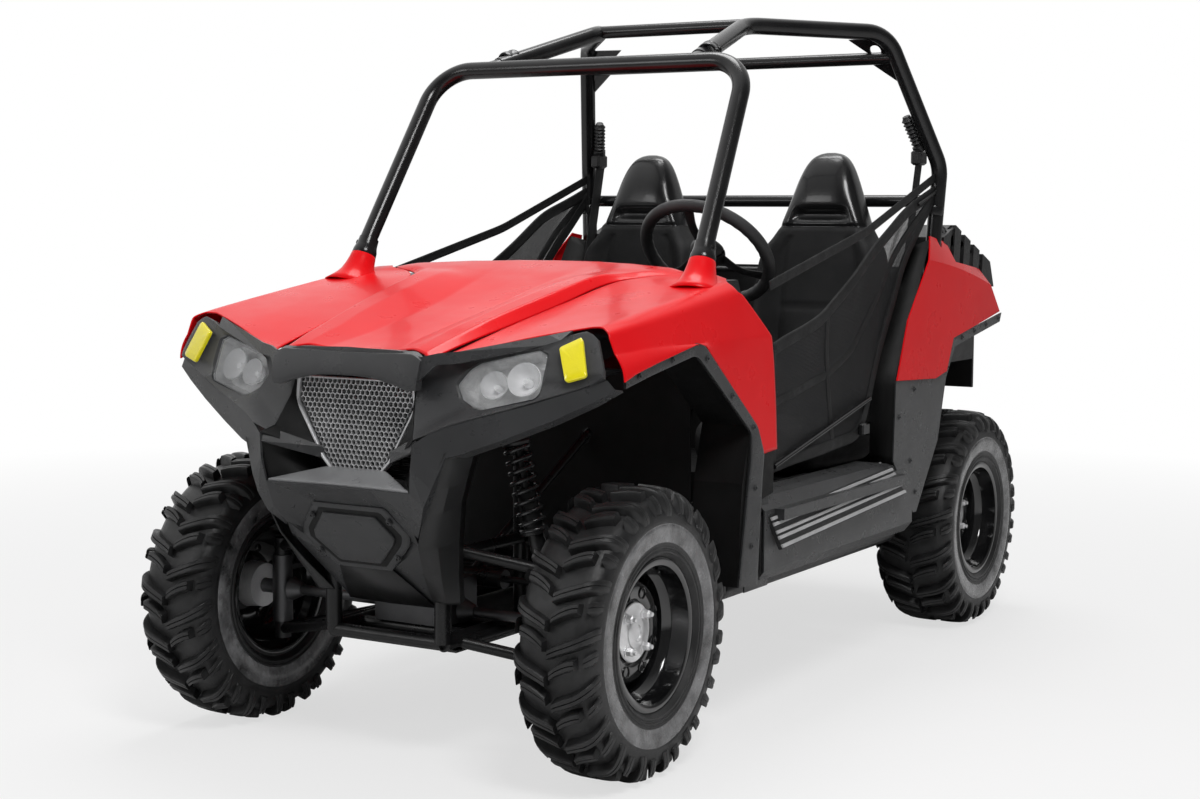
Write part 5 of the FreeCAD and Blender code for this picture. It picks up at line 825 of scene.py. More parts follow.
BEZEL_LINE = (
    (160, -1237, 869), (170, -1216, 915), (205, -1214, 908), (236, -1215, 896), (335, -1190, 916), (451, -1161, 944),
    (474, -1151, 957), (509, -1139, 972), (540, -1139, 960), (558, -1153, 918), (574, -1165, 877), (522, -1178, 854),
    (428, -1220, 822), (334, -1262, 793), (248, -1301, 765), (206, -1320, 737), (186, -1290, 748),
    (166, -1256, 815),
)
LENS_LINE = ((274, -1233, 823), (255, -1224, 852), (276, -1208, 884), (298, -1199, 898), (421, -1167, 928),
             (441, -1168, 918), (441, -1199, 843), (434, -1206, 830), (322, -1234, 804), (302, -1234, 808))
MARKER_LINE = ((474, -1166, 936), (511, -1150, 955), (516, -1151, 951), (541, -1177, 882), (538, -1180, 877),
               (502, -1190, 866), (497, -1190, 869), (471, -1170, 932))
CHIN_PLATE = ((-91, -1265, 584), (91, -1265, 584), (140, -1243, 528), (136, -1241, 508), (70, -1212, 446),
              (-70, -1212, 446), (-136, -1241, 508), (-140, -1243, 528))
CHIN_SHELF = ((-188, -1309, 632), (188, -1309, 632), (80, -1241, 659), (-80, -1241, 659))
CHEEK = (
    ((267, -1291, 716), (242, -1297, 660), (215, -1291, 585), (186, -1273, 510), (160, -1217, 440), (134, -1151, 370)),
    ((290, -1262, 730), (270, -1268, 670), (246, -1264, 596), (214, -1240, 506), (194, -1200, 436), (172, -1152, 368)),
    ((300, -1217, 739), (285, -1225, 678), (262, -1222, 607), (234, -1192, 508), (215, -1166, 436), (198, -1136, 368)),
    ((286, -1176, 735), (270, -1185, 675), (246, -1182, 604), (218, -1152, 506), (200, -1128, 436), (184, -1098, 370)),
)
BELLY = (((-70, -1211, 447), (0, -1213, 447), (70, -1211, 447)), ((-96, -1164, 400), (0, -1168, 398), (96, -1164, 400)),
         ((-120, -1112, 350), (0, -1112, 348), (120, -1112, 350)))
# The bare panel over the grille: half of its lower and its upper line, and shares of its height by relief
PANEL_LOW = ((-192, -1282, 842), (-178, -1286, 834), (-122, -1286, 852), (-112, -1284, 868))
PANEL_TOP = ((-196, -1270, 908), (-186, -1270, 914), (-130, -1270, 921), (-115, -1270, 922))
PANEL_RELIEF = ((0, -14), (0, 2), (0.05, 5.5), (0.16, 8), (0.8, 6.5), (0.93, 4), (1, -10))
# A grille cell's rings: share of its radius by depth, and its border's: share of its size by depth
CELL = ((1.0, 4.5), (1.0, -1.5), (0.8, -3), (0.74, 0), (0.74, 6), (1.0, 4.5))
BORDER = ((0.985, 4), (0.985, -3), (1, -6), (1.03, -6), (1.045, -2), (1.045, 8), (0.985, 8), (0.985, 4))
BORDER_LINE = ((151, 853), (157, 800), (88, 682), (66, 660), (-66, 660), (-88, 682), (-157, 800), (-151, 853))
LIP_FIRST = ((587, -1102, 878), (592, -1000, 899), (601, -813, 932), (604, -790, 926), (605, -526, 724),
             (605, -491, 658), (605, -500, 600), (605, -521, 354))
LIP_SECOND = ((585, -1098, 851), (590, -1000, 872), (598, -822, 904), (600, -806, 898), (601, -551, 712),
              (601, -553, 650), (601, -565, 590), (601, -608, 361))
LIP_BOLTS = (6, 22, 40, 58, 74, 92, 108)
LIP_FILL = ((592, -560, 660), (592, -490, 660), (592, -440, 560), (592, -440, 340), (592, -560, 340))


def by_angle(line, centre):
    """A closed line sampled again at even angles about a centre, as seen from the front."""
    angle = np.arctan2(line[:, 2] - centre[2], line[:, 0] - centre[0])
    order = np.argsort(angle)
    angle, line = angle[order], line[order]
    angle = np.concatenate([angle[-1:] - TAU, angle, angle[:1] + TAU])
    line = np.concatenate([line[-1:], line, line[:1]])
    spread = np.linspace(-math.pi, math.pi, len(order), endpoint=False)
    return np.stack([np.interp(spread, angle, line[:, k]) for k in range(3)], axis=-1)


class UTV_OT_lamps(bpy.types.Operator):
    """Makes the headlamps: dished bowls in their bezels, reflectors and clear covers"""

    bl_idname = "utv.lamps"
    bl_label = "Headlamps"

    def execute(self, context):
        lens = along_line(at(*LENS_LINE), 96, True)
        centre = lens.mean(axis=0)
        corner, far, top = at((274, -1233, 823), (441, -1199, 843), (298, -1199, 898))
        out = unit(np.cross(far - corner, top - corner))
        rim, hole = (by_angle(line, centre) for line in (along_line(at(*BEZEL_LINE), 96, True), lens))
        lamp = Surface().grid([
            rim - out * 0.016, rim - out * 0.002, rim + (hole - rim) * 0.06, hole + (rim - hole) * 0.16 + out * 0.001,
            hole + (rim - hole) * 0.05 + out * 0.0035, hole, hole - out * 0.006,
        ], loop_columns=True)
        # The inner bowl and the reflector dishes below take the near-white finishes: a painted reflection in place of
        # chrome.
        lamp.grid([centre + (hole - centre) * share - out * depth for share, depth in (
            (1, 0.006), (0.94, 0.022), (0.84, 0.044), (0.45, 0.05), (0, 0.05))], loop_columns=True, coat=1)
        first, last = at((274, -1216, 854), (421, -1184, 886))
        for share, r in ((0.3, 30), (0.74, 36)):
            base = centre + (last - first) * (share - 0.5) - out * 0.046
            lamp.lathe([(30, r * 1.06), (33, r * 1.02), (30, r * 0.98), (16, r * 0.8), (6, r * 0.55), (0, r * 0.3),
                        (4, r * 0.26), (14, r * 0.24), (19, r * 0.18), (20, 0.01)], base, out, 36, coat=2)
        lamp.mirrored().piece("lamp_bowls", "grey bowl dish", ("headlamp_housings",), 35, outward=False)
        inside = (hole - centre) * 0.995
        cover = Surface().grid([centre + inside * share + out * rise for share, rise in (
            (1, -0.004), (1, -0.0005), (0.97, 0.0012), (0.6, 0.0035), (0.25, 0.0048), (0, 0.005))], loop_columns=True)
        cover.mirrored().piece("lamp_covers", "clear", ("headlamp_lenses",), outward=False, slot="clear_lens")
        return {"FINISHED"}


class UTV_OT_nose(bpy.types.Operator):
    """Makes the bumper's cheeks, its raised chin plate, the amber markers and the fine honeycomb grille"""

    bl_idname = "utv.nose"
    bl_label = "Nose"

    def execute(self, context):
        cheeks = Surface().grid([along_line(at(*line), 60) for line in CHEEK]).mirrored()
        cheeks.grid([at(*line) for line in BELLY]).piece("bumper_cheeks", "black", (), 24, 0.003, False)

        chin = Surface()
        line = at(*CHIN_PLATE)
        out = unit((0.0, -0.9, -0.42))
        middle = line.mean(axis=0)
        # The middle ring takes the near-black liner finish: painted shade at the foot of the raised inner plate.
        for share, rise, height, coat in ((1.05, 0, 0.006, 0), (0.92, 0.003, 0.004, 1), (0.78, 0.006, 0.007, 0)):
            pillow(chin, middle + (line - middle) * share + out * rise, out, height, coat=coat)
        for x, z in ((-104, 560), (104, 560), (-104, 478), (104, 478)):
            bolt(chin, at((x, -1243 - (z - 528) * 0.38, z))[0] + out * 0.01, out, 0.006)
        # The shelf plate takes the third, light finish: a painted highlight on its upward face.
        pillow(chin, at(*CHIN_SHELF), unit((0, -0.36, 0.93)), 0.0035, coat=2)
        low, top = (np.concatenate([line, line[::-1] * (-1, 1, 1)])[:, None] for line in (
            at(*PANEL_LOW), at(*PANEL_TOP)))
        share, lift = np.array(PANEL_RELIEF).T[:, None, :, None]
        rows = softened(low[:, 0], 1)[:, None] + (top - low) * share - REARWARD * lift / 1000
        chin.rings(smooth_line(rows.reshape(8, -1), 60).reshape(60, 7, 3))
        chin.piece("chin_plate", "grey liner shelf", (), 35)

        mark = Surface()
        line = at(*MARKER_LINE)
        out = unit(np.cross(line[4] - line[0], line[2] - line[0]))
        out = out if out[1] < 0 else -out
        pillow(mark, line + out * 0.002, out, 0.005, 64)
        mark.mirrored().piece("amber_markers", "amber", ("side_markers",), slot="amber_lens")

        pitch = context.scene.utv_sizes.mesh_pitch
        x, z = np.meshgrid(np.arange(-14, 15), np.arange(0, 24))
        x = (x + 0.5 * (z % 2)) * pitch
        z = 0.664 + z * pitch * math.sin(math.radians(60))
        wide = np.interp(z, (0.66, 0.683, 0.803, 0.853), (0.066, 0.086, 0.156, 0.151))
        keep = (np.abs(x) < wide - pitch * 0.35) & (z < 0.85)
        place = np.stack([x[keep], np.full(keep.sum(), -1.2265), z[keep]], axis=-1)
        corner = math.radians(30) + np.arange(6) * TAU / 6
        size = pitch / math.sqrt(3)
        rings = [np.stack([size * share * np.cos(corner), np.full(6, depth / 1000), size * share * np.sin(corner)],
                          axis=-1) for share, depth in CELL]
        mesh = Surface().stack(place[:, None, None] + np.array(rings), loop_columns=True)
        border = along_line([(x / 1000, -1.227, z / 1000) for x, z in BORDER_LINE], 120, True)
        middle = border.mean(axis=0)
        mesh.grid([middle + (border - middle) * share + REARWARD * depth / 1000 for share, depth in BORDER],
                  loop_columns=True)
        mesh.piece("honeycomb_grille", "mesh", ("grille",), outward=False)
        return {"FINISHED"}


class UTV_OT_trim(bpy.types.Operator):
    """Makes the grey arch lips and mudguards with their screws"""

    bl_idname = "utv.trim"
    bl_label = "Arch Trim"

    def execute(self, context):
        for side, name in SIDES:
            lip = Surface()
            line, out = band(lip, at(*LIP_SECOND), at(*LIP_FIRST), 0.006, 0.0016, 120)
            for k in LIP_BOLTS:
                bolt(lip, line[k] + out[k] * 0.0012, out[k], context.scene.utv_sizes.screw_radius)
            plate(lip, at(*LIP_FILL), -ACROSS, 0.004, 0.001)
            lip.moved((side, 1, 1)).piece(f"arch_lip_{name}", "grey", (), 35)
        return {"FINISHED"}


# Seats, nets and belts

# Height: Y of the front and of the back, half width and wing reach of the backrest and its head
SEAT_BACK = (
    (640, 462, 560, 168, 50), (700, 462, 575, 178, 56), (800, 466, 585, 185, 60), (900, 472, 590, 188, 60),
    (985, 478, 593, 187, 56), (1060, 482, 598, 183, 50), (1110, 484, 602, 172, 40), (1145, 487, 605, 150, 24),
    (1175, 489, 607, 132, 14), (1200, 490, 609, 122, 10), (1230, 490, 611, 111, 4), (1270, 495, 611, 97, 0),
    (1310, 506, 607, 83, 0), (1345, 522, 600, 68, 0), (1368, 538, 592, 52, 0), (1380, 553, 584, 34, 0),
    (1385, 563, 576, 14, 0),
)
# Y: lowest and highest Z, half width and wing reach of the cushion
SEAT_PAN = (
    (70, 560, 628, 130, 0), (78, 545, 655, 158, 4), (98, 532, 676, 176, 8), (140, 526, 685, 184, 16),
    (220, 525, 676, 187, 28), (320, 525, 662, 188, 36), (420, 525, 654, 186, 40), (470, 526, 648, 176, 36),
    (488, 535, 630, 150, 20),
)
HEAD_SEAM = 1.178
SEAT_X = 0.29


def rounded(columns, power):
    """Cosine and sine bent towards a rounded rectangle: sign times size to the power 2 / n."""
    angle = np.arange(columns)[None] * TAU / columns
    return (np.sign(a) * np.abs(a) ** (2 / power) for a in (np.cos(angle), np.sin(angle)))


def wing(x, start):
    """How far a side wing has risen across the seat: a smooth step from its start share to the edge."""
    t = np.clip((np.abs(x) - start) / (0.93 - start), 0, 1)
    return t * t * (3 - 2 * t)


def channel(x, place, width=0.006):
    """A sewn channel: a narrow bell about a line across or along the cover."""
    return np.exp(-((x - place) / width) ** 2)


def seat_back(rows=120, columns=96):
    """The backrest and its head: rounded rectangles between front and back lines, wings pushed forward."""
    z, front, back, half, reach = smooth_line(np.array(SEAT_BACK) / 1000, rows).T[..., None]
    x, y = rounded(columns, 3.4)
    ahead = np.clip(-y * 1.6, 0, 1)
    inner = np.abs(x) < 0.6
    crown = 0.01 * np.exp(-((z - 0.82) / 0.1) ** 2) * np.clip(1 - (x / 0.6) ** 2, 0, 1)
    seam = channel(np.abs(x), 0.6, 0.035) * (z < 1.15) + 0.9 * channel(z, HEAD_SEAM)
    seam = seam + (channel(z, 0.955) + channel(z, 0.775)) * inner
    slot = channel(z, 1.212, 0.016) * np.clip(1 - (np.abs(x) / 0.74) ** 6, 0, 1)
    y = (front + back) / 2 + (back - front) / 2 * y
    y = y + ahead * (0.006 * seam + 0.022 * slot - crown - reach * wing(x, 0.6))
    return np.stack([half * x, y, z + 0 * x], axis=-1)


def seat_pan(rows=80, columns=96):
    """The cushion: rounded rectangles along Y, crowned in the middle with wings on both sides."""
    y, low, high, half, reach = smooth_line(np.array(SEAT_PAN) / 1000, rows).T[..., None]
    x, z = rounded(columns, 3.6)
    up = np.clip(z * 1.6, 0, 1)
    seam = channel(np.abs(x), 0.61, 0.03) + (channel(y, 0.215) + channel(y, 0.345)) * (np.abs(x) < 0.61)
    rise = reach * wing(x, 0.62) * 0.7 + 0.012 * np.clip(1 - (x / 0.6) ** 2, 0, 1) - 0.014 - 0.0055 * seam
    return np.stack([half * x, y + 0 * x, (low + high) / 2 + (high - low) / 2 * z + up * rise], axis=-1)


class UTV_OT_seats(bpy.types.Operator):
    """Makes the two bucket seats: winged backs with glossy heads, cushions and sewn channels"""

    bl_idname = "utv.seats"
    bl_label = "Seats"

    def execute(self, context):
        back = seat_back()
        split = int(np.searchsorted(back[:, 0, 2], HEAD_SEAM))
        back = capped(back)
        for side, name in SIDES:
            seat = Surface().grid(back[:split + 1], loop_columns=True).grid(back[split:], loop_columns=True, coat=1)
            seat.rings(seat_pan()).moved(1, (side * SEAT_X, 0, 0))
            seat.piece(f"bucket_seat_{name}", "seat_cloth seat", (f"seat_{name}",), 60, slot="seat_cover")
        return {"FINISHED"}


# Shares of the wheelbase behind the front axle and of 1.05 m
NET_TOP = ((0.3098, 0.8476), (0.4601, 0.9095), (0.7055, 1.1476), (0.8333, 1.22))
NET_LOW = ((0.3098, 0.5829), (0.5726, 0.6095), (0.7081, 1.02), (0.8333, 1.21))
NET_LINE = ((0.2965, 0.9929), (0.5879, 1.1119), (0.8333, 1.2571))
BELT_WIDTH = 0.046


def side_place(back, height):
    """A place on the vehicle's side from shares of the wheelbase behind the front axle and of 1.05 m."""
    return np.array([FRONT_AXLE + back * 1.956, height * 1.05])


def net_grid(sag, rows=60, columns=40):
    """The side net between its front, rear, top and bottom lines, drawn in a little between its corners."""
    u = np.linspace(0, 1, rows)[:, None]
    t = np.linspace(0, 1, columns)[None]
    a, b = (softened(np.stack([np.interp(u[:, 0], knots, line) for line in np.array(
        [side_place(*p) for p in places]).T], axis=-1), 3) for places, knots in (
        (NET_TOP, (0, 0.32, 0.78, 1)), (NET_LOW, (0, 0.5, 0.86, 1))))
    flat = a[:, None] * (1 - t[..., None]) + b[:, None] * t[..., None]
    sag = sag * np.sin(math.pi * u) * np.sin(math.pi * t) + 0.0025 * np.sin(23 * u + 5 * t)
    return np.concatenate([(0.5665 - sag)[..., None], flat], axis=-1)


def strip_between(line, width, out, columns=6, crown=0.0008):
    """A flat strap along a line: its width lies across the line and across the way that it faces."""
    across = unit(np.cross(unit(np.gradient(line, axis=0)), out))
    share = np.linspace(-0.5, 0.5, columns)[None, :, None]
    return line[:, None] + across[:, None] * share * width + out * crown * (1 - (2 * share) ** 2)


class UTV_OT_nets(bpy.types.Operator):
    """Makes the side nets of fine mesh with their bound edges, straps and buckles"""

    bl_idname = "utv.nets"
    bl_label = "Side Nets"

    def execute(self, context):
        net = net_grid(context.scene.utv_sizes.net_sag)
        edges = ((net[:, 0], 0.03), (net[:, -1], 0.03), (net[0], 0.03), (net[-1], 0.03), (net[20], 0.022),
                 (net[:, 18], 0.02))
        paths = [(softened(along_line(line, 60), 2) + ACROSS * face, width)
                 for line, width in edges for face in (0.0011, -0.0023)]
        paths.append((softened(along_line([(0.5675, *side_place(*p)) for p in NET_LINE], 60), 3), 0.024))
        for corner, drop in ((net[0, 0], -0.03), (net[0, -1], -0.005)):
            paths.append((along_line([corner + (0.0006, 0.02, 0), corner + (-0.05, -0.125, drop)], 20), 0.026))
        strips = [strip_between(path, width, ACROSS) for path, width in paths]
        for side, name in SIDES:
            trim = Surface()
            for strip in strips:
                trim.grid(strip)
            rods = Surface()
            for first, last, radius in ((net[0, -1], net[34, -1], 0.006), (net[-8, 0], net[-1, 0], 0.005)):
                rods.sweep(along_line([first + (0.004, 0, 0), last + (0.004, 0, 0)], 12), ring(12, radius))
            block(rods, net[30, -1] + (0.002, -0.022, -0.016), net[30, -1] + (0.018, 0.022, 0.016), 0.004)
            mesh = Surface().grid(net).moved((side, 1, 1)).piece(
                f"mesh_net_{name}", "net", (f"side_net_{name}",), 60, 0.0012, False, slot="webbing")
            straps = trim.moved((side, 1, 1)).piece(
                f"net_straps_{name}", "strap", (), 60, 0.0014, False, slot="webbing")
            rods.moved((side, 1, 1)).piece(f"net_rods_{name}", "tube", (), 35, slot="webbing")
        return {"FINISHED"}


# Fittings

REEL_LOW = np.array((0.522, 0.648, 1.396))
REEL_HIGH = np.array((0.498, 0.609, 1.479))
BELT_FOOT = np.array((0.5186, 0.456, 0.547))
FOOT_PLATE = ((0, -24, -26), (0, 24, -26), (0, 24, 12), (0, 10, 26), (0, -10, 26), (0, -24, 12))
LEG_HEAD = np.array((0.475, 0.50325, 1.702))
LEG_WAY = np.array((-0.25, -0.414, 0.875))
HEADER_FRONT = np.array((0.303, -0.223, 1.6))
FLANGE = ((18, 21.5), (18, 26.2), (22, 27.5), (28, 27.5), (31, 26.2), (44, 26.2), (47, 27.5), (53, 27.5), (57, 26.2),
          (57, 21.5))
COLLAR = ((36, 21.5), (36, 30), (40, 31.2), (50, 30.5), (60, 27.5), (66, 26.2), (84, 25), (86, 21.5))
CUFF = ((-34, 21.5), (-34, 25.2), (-30, 26.2), (-14, 26.2), (-10, 25.2), (-10, 21.5))


class UTV_OT_belts(bpy.types.Operator):
    """Makes the seat belts: reels with ribbed boots on the cage legs and straps down to the seat deck"""

    bl_idname = "utv.belts"
    bl_label = "Seat Belts"

    def execute(self, context):
        boot = [(-6, 0.1), (-6, 18.5), (10, 18.5), (12, 15)]
        boot += [pair for k in range(7) for pair in ((14 + 11.5 * k, 12.5), (19.5 + 11.5 * k, 17.8))]
        boot += [(96, 12), (101, 11), (102, 0.1)]
        reels = Surface().lathe(boot, REEL_LOW, REEL_HIGH - REEL_LOW, 28, False)
        block(reels, REEL_LOW + (-0.016, -0.03, -0.046), REEL_LOW + (0.014, 0.026, -0.004), 0.006)
        plate(reels, BELT_FOOT + np.array(FOOT_PLATE) / 1000, -ACROSS, 0.003, 0.0006)
        bolt(reels, BELT_FOOT + (-0.003, 0, -0.006), -ACROSS, 0.008)
        reels.mirrored().piece("belt_reels", "black", (), 35)
        path = along_line([REEL_LOW + (-0.003, 0.004, -0.03), (0.5165, 0.545, 0.96), BELT_FOOT + (0.0008, 0, 0.012)],
                          60)
        strip = strip_between(softened(path, 6), BELT_WIDTH, -ACROSS, 8)
        for side, name in SIDES:
            strap = Surface().grid(strip * (side, 1, 1)).piece(
                f"belt_strap_{name}", "strap", ("seat_belts",), 60, 0.0014, False, slot="webbing")
        return {"FINISHED"}


class UTV_OT_cage_fittings(bpy.types.Operator):
    """Makes the cage's corner plates, header couplers, hoop collars and their bolts"""

    bl_idname = "utv.cage_fittings"
    bl_label = "Cage Fittings"

    def execute(self, context):
        skin = Surface()
        corner = LEG_HEAD + (-0.012, 0.004, -0.008)
        outline = np.array([corner, corner + (-0.1, 0, -0.002), corner - LEG_WAY * 0.105])
        across = unit(np.cross(outline[1] - outline[0], outline[2] - outline[0]))
        line = along_line(outline - across * 0.002, 48, True)
        middle = line.mean(axis=0)
        hole = middle + unit(line - middle) * 0.017
        skin.grid([line, hole, hole + across * 0.004, line + across * 0.004], loop_rows=True, loop_columns=True)
        skin.lathe([(-3, 20.5), (3, 20.5), (3, 16.8), (-3, 16.8)], outline.mean(axis=0), across, 32)
        way = unit((-0.083, 0.375, 0.105))
        skin.lathe(FLANGE, HEADER_FRONT, way, 36)
        for reach in (0.025, 0.05):
            bolt(skin, HEADER_FRONT + way * reach + (0.0268, 0, 0.004), (1, 0, 0.15), 0.0075)
        skin.lathe(COLLAR, HOOP_FOOT, HOOP_WAY, 40)
        bolt(skin, HOOP_FOOT + unit(HOOP_WAY) * 0.072 + (0.024, -0.01, 0), (0.9, -0.4, 0), 0.007)
        low = unit((0.021, 0.02, 0.189))
        for drop in (0.1, 0.3):
            skin.lathe(CUFF, LEG_HEAD - LEG_WAY * 0.408 - low * drop, low, 36)
        skin.mirrored().piece("cage_fittings", "tube", (), 35, slot="frame_steel")
        return {"FINISHED"}


# A strut's foot and head from its axle, the coil's radius and its wire's
STRUT_FOOT, STRUT_HEAD = (0.33, -0.047, 0.466), (0.268, -0.062, 0.76)
COIL_RADIUS, WIRE_RADIUS = 0.0275, 0.0052


class UTV_OT_shocks(bpy.types.Operator):
    """Makes the four coil-over struts: eyes, damper, rod with its boot, spring seats and open coils"""

    bl_idname = "utv.shocks"
    bl_label = "Coil Overs"

    def execute(self, context):
        skin = Surface()
        turns = context.scene.utv_sizes.spring_turns
        for axle in (FRONT_AXLE, REAR_AXLE):
            foot, head = np.array((STRUT_FOOT, STRUT_HEAD)) + (0, axle, 0)
            top = float(np.linalg.norm(head - foot)) * 1000
            skin.lathe([(-16, 0.1), (-14, 10), (-4, 15.8), (8, 15), (18, 16.8), (52, 16.8), (54, 32), (60, 32.5),
                        (62, 21), (150, 21), (154, 18), (156, 8.5), (top - 52, 8.5), (top - 50, 31), (top - 44, 32.5),
                        (top - 40, 30), (top - 36, 12), (top - 12, 11), (top - 4, 15.8), (top + 10, 13),
                        (top + 16, 0.1)], foot, head - foot, 40, False)
            way = unit(head - foot)
            start, end = foot + way * 0.064, head - way * 0.056
            side = unit(np.cross(way, REARWARD))
            s = np.linspace(0, 1, int(turns * 28))[:, None]
            angle = TAU * turns * s
            path = start + (end - start) * np.clip((s - 0.06) / 0.88, 0, 1) + COIL_RADIUS * (
                np.cos(angle) * side + np.sin(angle) * np.cross(way, side))
            skin.sweep(path, ring(10, WIRE_RADIUS), way, 1)
        skin.mirrored().piece("coil_over_shocks", "steel spring", ("shocks",), slot="suspension_steel")
        return {"FINISHED"}


GRIP_RADIUS = 0.0172
WHEEL_PAD = ((-20, 0.1), (-20, 30), (-6, 44), (6, 47), (13, 44), (16.5, 37), (15, 34.5), (17, 32), (20, 16),
             (20.5, 0.1))


class UTV_OT_steering(bpy.types.Operator):
    """Makes the steering wheel: a finger-grip rim, three dished spokes and a stitched centre pad"""

    bl_idname = "utv.steering"
    bl_label = "Steering Wheel"

    def execute(self, context):
        low, high = (np.array(c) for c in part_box("steering_wheel"))
        centre = (low + high) / 2
        radius = (high[0] - low[0]) / 2 - GRIP_RADIUS
        lean = math.acos(min((high[2] - low[2] - 2 * GRIP_RADIUS) / 2 / radius, 1))
        up = np.array((0, -math.sin(lean), math.cos(lean)))
        out = np.array((0, math.cos(lean), math.sin(lean)))
        turn = (np.arange(220) * TAU / 220)[:, None, None]
        way = np.cos(turn) * ACROSS + np.sin(turn) * up
        c, s = ring(24).T[:, None, :, None]
        thick = GRIP_RADIUS - 0.0012 + 0.0006 * np.cos(36 * turn) * np.clip(-c, 0, 1)
        skin = Surface().grid(centre + way * radius + thick * (c * way + s * out), loop_rows=True, loop_columns=True)
        share = np.linspace(0, 1, 16)[:, None, None]
        for degrees in (90, 210, 330):
            a = math.radians(degrees)
            ray = math.cos(a) * ACROSS + math.sin(a) * up
            path = centre + ray * (0.03 + (radius - 0.03) * share) - out * 0.012 * np.sin(math.pi * share) ** 2
            wide = 0.021 - 0.009 * np.sin(math.pi * share * 0.9)
            skin.rings(path + c * wide * np.cross(out, ray) + s * 0.0042 * out, 1)
        skin.lathe(WHEEL_PAD, centre, out, closed=False, coat=1)
        skin.piece("grip_steering_wheel", "rubber black", ("steering_wheel",), 45, body="steering_wheel_turn",
                   slot="grip_rubber")
        return {"FINISHED"}


class UTV_OT_side_steps(bpy.types.Operator):
    """Makes the ribbed step boards on the sills"""

    bl_idname = "utv.side_steps"
    bl_label = "Side Steps"

    def execute(self, context):
        skin = Surface()
        top = at((606, -462, 506), (606, 262, 545))
        low = at((629, -438, 428), (629, 316, 470))
        band(skin, low, top, 0.01, 0.001, 60, 0)
        for a, b in ((0.03, 0.13), (0.2, 0.3), (0.44, 0.54), (0.61, 0.71), (0.86, 0.97)):
            band(skin, top + (low - top) * b, top + (low - top) * a, 0.0, 0.0052, 60, 0, 1)
        skin.mirrored().piece("ribbed_steps", "black rib", (), 35)
        return {"FINISHED"}


VENT_RIM = ((0.856, 1.09), (0.899, 1.122), (1.046, 1.02), (1.044, 1.008), (0.8995, 1.106), (0.86, 1.076))
ARCH_SCREWS = ((0.85, 0.748), (0.862, 0.796), (0.908, 0.822), (0.958, 0.836), (1.008, 0.85),
               (1.06, 0.864), (0.725, 0.705), (0.715, 0.52), (0.735, 0.435), (0.672, 0.64))
# X from and to, Z from and to
PRESSINGS = ((-0.27, 0.27, 0.93, 0.99), (-0.27, 0.27, 0.85, 0.91), (-0.27, 0.27, 0.77, 0.83),
             (0.3, 0.44, 0.74, 0.8), (-0.44, -0.3, 0.74, 0.8))


class UTV_OT_rear_dress(bpy.types.Operator):
    """Makes the rear louvre fins, arch screws, bed ribs and rail, tailgate pressings and tail lamp lenses"""

    bl_idname = "utv.rear_dress"
    bl_label = "Rear Dress"

    def execute(self, context):
        fins = Surface()
        for k in range(6):
            low = side_place(0.869 + 0.0345 * k, 0.975 + 0.01 * k)
            high = side_place(0.874 + 0.033 * k, 1.118 - 0.018 * k)
            path = along_line([(0.562, *low), (0.56, *(low + (high - low) * 0.92)), (0.546, *high)], 14)
            fins.sweep(path, ring(16) * (0.014, 0.0085), (0, 1, 0))
        plate(fins, [(0.5575, *side_place(*p)) for p in VENT_RIM], ACROSS, 0.016, 0.003)
        fins.mirrored().piece("louvre_fins", "black")

        trim = Surface()
        for p in ARCH_SCREWS:
            bolt(trim, (0.5982, *side_place(*p)), ACROSS, 0.0062)
        trim.mirrored().piece("rear_arch_screws", "grey", (), 35)

        (x0, y0, _), (x1, y1, z1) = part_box("cargo_bed")
        bed = Surface()
        for x in np.linspace(-0.38, 0.38, 9):
            bed.sweep(along_line([(x, y0 + 0.03, 0.777), (x, y1 - 0.03, 0.777)], 8), ring(14) * (0.016, 0.006))
        rail = [(x, y, z1) for x, y in ((x1 - 0.005, y1 - 0.01), (x1 - 0.005, y0 + 0.005), (x0 + 0.005, y0 + 0.005),
                                        (x0 + 0.005, y1 - 0.01))]
        bed.sweep(bent_line(rail, 0.03), ring(14) * (0.012, 0.007)).piece("bed_liner_ribs", "black")

        gate = Surface()
        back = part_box("tail_panel")[1][1]
        for place in PRESSINGS:
            pillow(gate, np.insert(octagon(*place, 0.012), 1, back, axis=1), REARWARD, 0.006)
        for x in (-0.225, 0.225):
            block(gate, (x - 0.03, back - 0.002, 0.995), (x + 0.03, back + 0.014, 1.018), 0.004)
        gate.piece("tailgate_pressings", "black", (), 35)

        (_, _, z0), (x1, back, z1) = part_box("tail_lamps")
        x0 = x1 - 0.144
        lens = Surface()
        pillow(lens, np.insert(octagon(x0, x1, z0, z1, 0.01), 1, back, axis=1), REARWARD, 0.005)
        for z in np.linspace(z0 + 0.016, z1 - 0.016, 6):
            lens.sweep(along_line([(x0 + 0.01, back + 0.006, z), (x1 - 0.01, back + 0.006, z)], 6),
                       ring(10, 0.0032))
        lens.mirrored().piece("tail_lamp_lenses", "red_lens", slot="red_lens")
        return {"FINISHED"}


# The sides of the grille's opening and the panels beside the seats, each between two lines
OPENING_RIM = ((160, -1237, 872), (166, -1256, 815), (186, -1288, 748), (204, -1316, 736))
OPENING_BACK = ((151, -1234.25, 856), (157, -1234.25, 800), (122, -1234.25, 738), (88, -1234.25, 682))
POST_RIM = ((204, -1316, 730), (198, -1312, 681), (190, -1304, 632))
POST_BACK = ((150, -1217.25, 736), (140, -1217.25, 690), (110, -1217.25, 640))
HIP_RIM = ((590, 309.75, 545), (590, 319.75, 771), (588, 442.75, 955), (585, 567.75, 1145))
HIP_BACK = ((500, 367.75, 545), (500, 375.75, 771), (500, 492.75, 955), (505, 602.75, 1120))


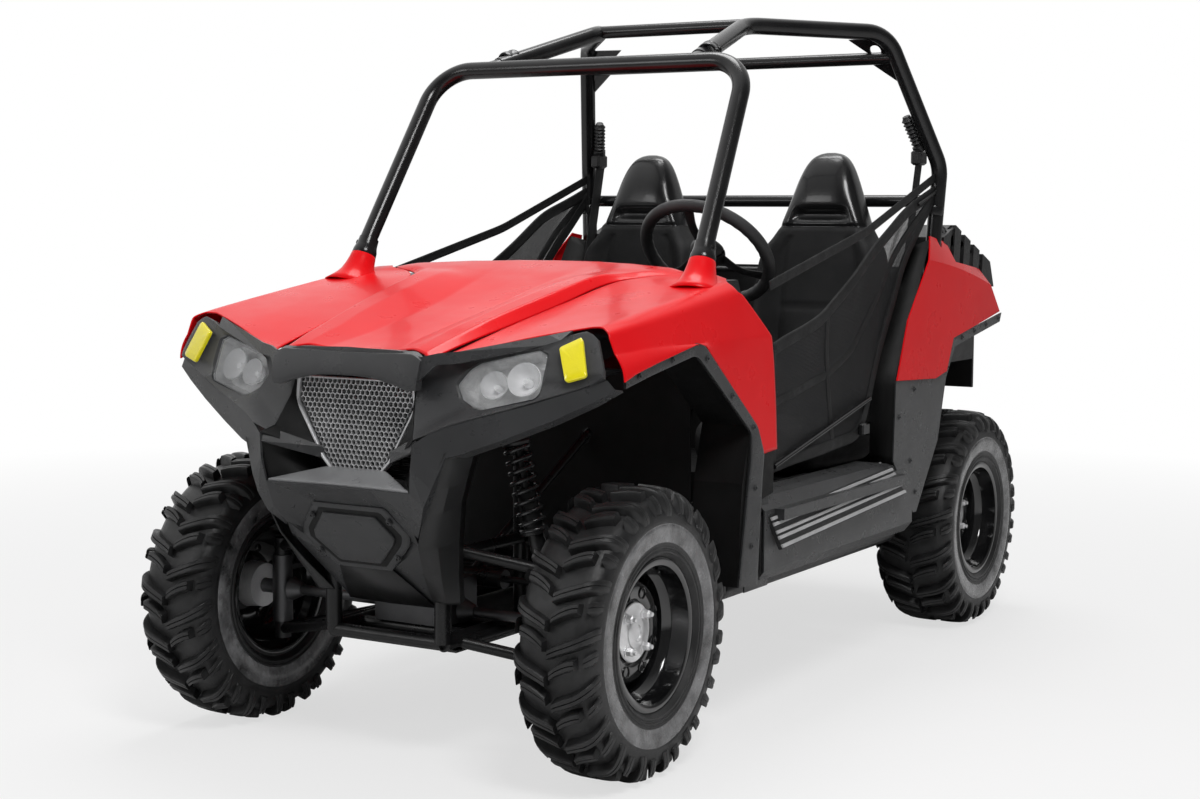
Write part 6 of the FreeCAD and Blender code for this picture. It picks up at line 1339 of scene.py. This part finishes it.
class UTV_OT_radiator(bpy.types.Operator):
    """Makes the finned core behind the grille, the dark sides of its opening and the panels beside the seats"""

    bl_idname = "utv.radiator"
    bl_label = "Radiator"

    def execute(self, context):
        z, x = np.meshgrid(np.linspace(0.64, 0.866, 160), np.linspace(-1, 1, 61), indexing="ij")
        half = np.interp(z, (0.64, 0.7, 0.78, 0.866), (0.15, 0.17, 0.17, 0.16))
        skin = Surface().grid(np.stack([x * half, -1.199 + 0.0022 * np.cos(z * TAU / 0.008), z], axis=-1))
        rim, back = (along_line(at(*line), 30) for line in (OPENING_RIM, OPENING_BACK))
        post = [along_line(at(*line), 16) for line in (POST_RIM, POST_BACK)]
        for wall in ([rim, back, back + (0.006, 0.022, 0)], post):
            for side, _ in SIDES:
                skin.grid(np.array(wall) * (side, 1, 1), coat=1)
        skin.piece("radiator_core", "steel liner", (), 30, 0.001, False)
        hips = Surface().grid([along_line(at(*line), 30) for line in (HIP_RIM, HIP_BACK)]).mirrored()
        hips.piece("hip_panels", "liner", (), 30, 0.002, False)
        return {"FINISHED"}


class UTV_PT_panel(bpy.types.Panel):
    """Lists the dressing steps in the sidebar"""

    bl_label = "Utility Vehicle"
    bl_idname = "UTV_PT_panel"
    bl_space_type = "VIEW_3D"
    bl_region_type = "UI"
    bl_category = "Utility Vehicle"

    def draw(self, context):
        for name in UTV_PG_sizes.__annotations__:
            self.layout.prop(context.scene.utv_sizes, name)
        for step in STEPS:
            self.layout.operator(step.bl_idname)


STEPS = (
    UTV_OT_stage, UTV_OT_frame_finish, UTV_OT_tyres, UTV_OT_rims, UTV_OT_panels, UTV_OT_lamps, UTV_OT_nose,
    UTV_OT_trim, UTV_OT_seats, UTV_OT_nets, UTV_OT_belts, UTV_OT_cage_fittings, UTV_OT_shocks, UTV_OT_steering,
    UTV_OT_side_steps, UTV_OT_rear_dress, UTV_OT_radiator,
)
CLASSES = (UTV_PG_sizes,) + STEPS + (UTV_PT_panel,)


def register():
    for item in CLASSES:
        bpy.utils.register_class(item)
    bpy.types.Scene.utv_sizes = bpy.props.PointerProperty(type=UTV_PG_sizes)


def unregister():
    del bpy.types.Scene.utv_sizes
    for item in reversed(CLASSES):
        bpy.utils.unregister_class(item)


def main():
    register()
    for step in STEPS:
        group, action = step.bl_idname.split(".")
        if getattr(getattr(bpy.ops, group), action)() != {"FINISHED"}:
            raise RuntimeError(f"{step.bl_idname} did not finish")


if __name__ == "__main__":
    main()
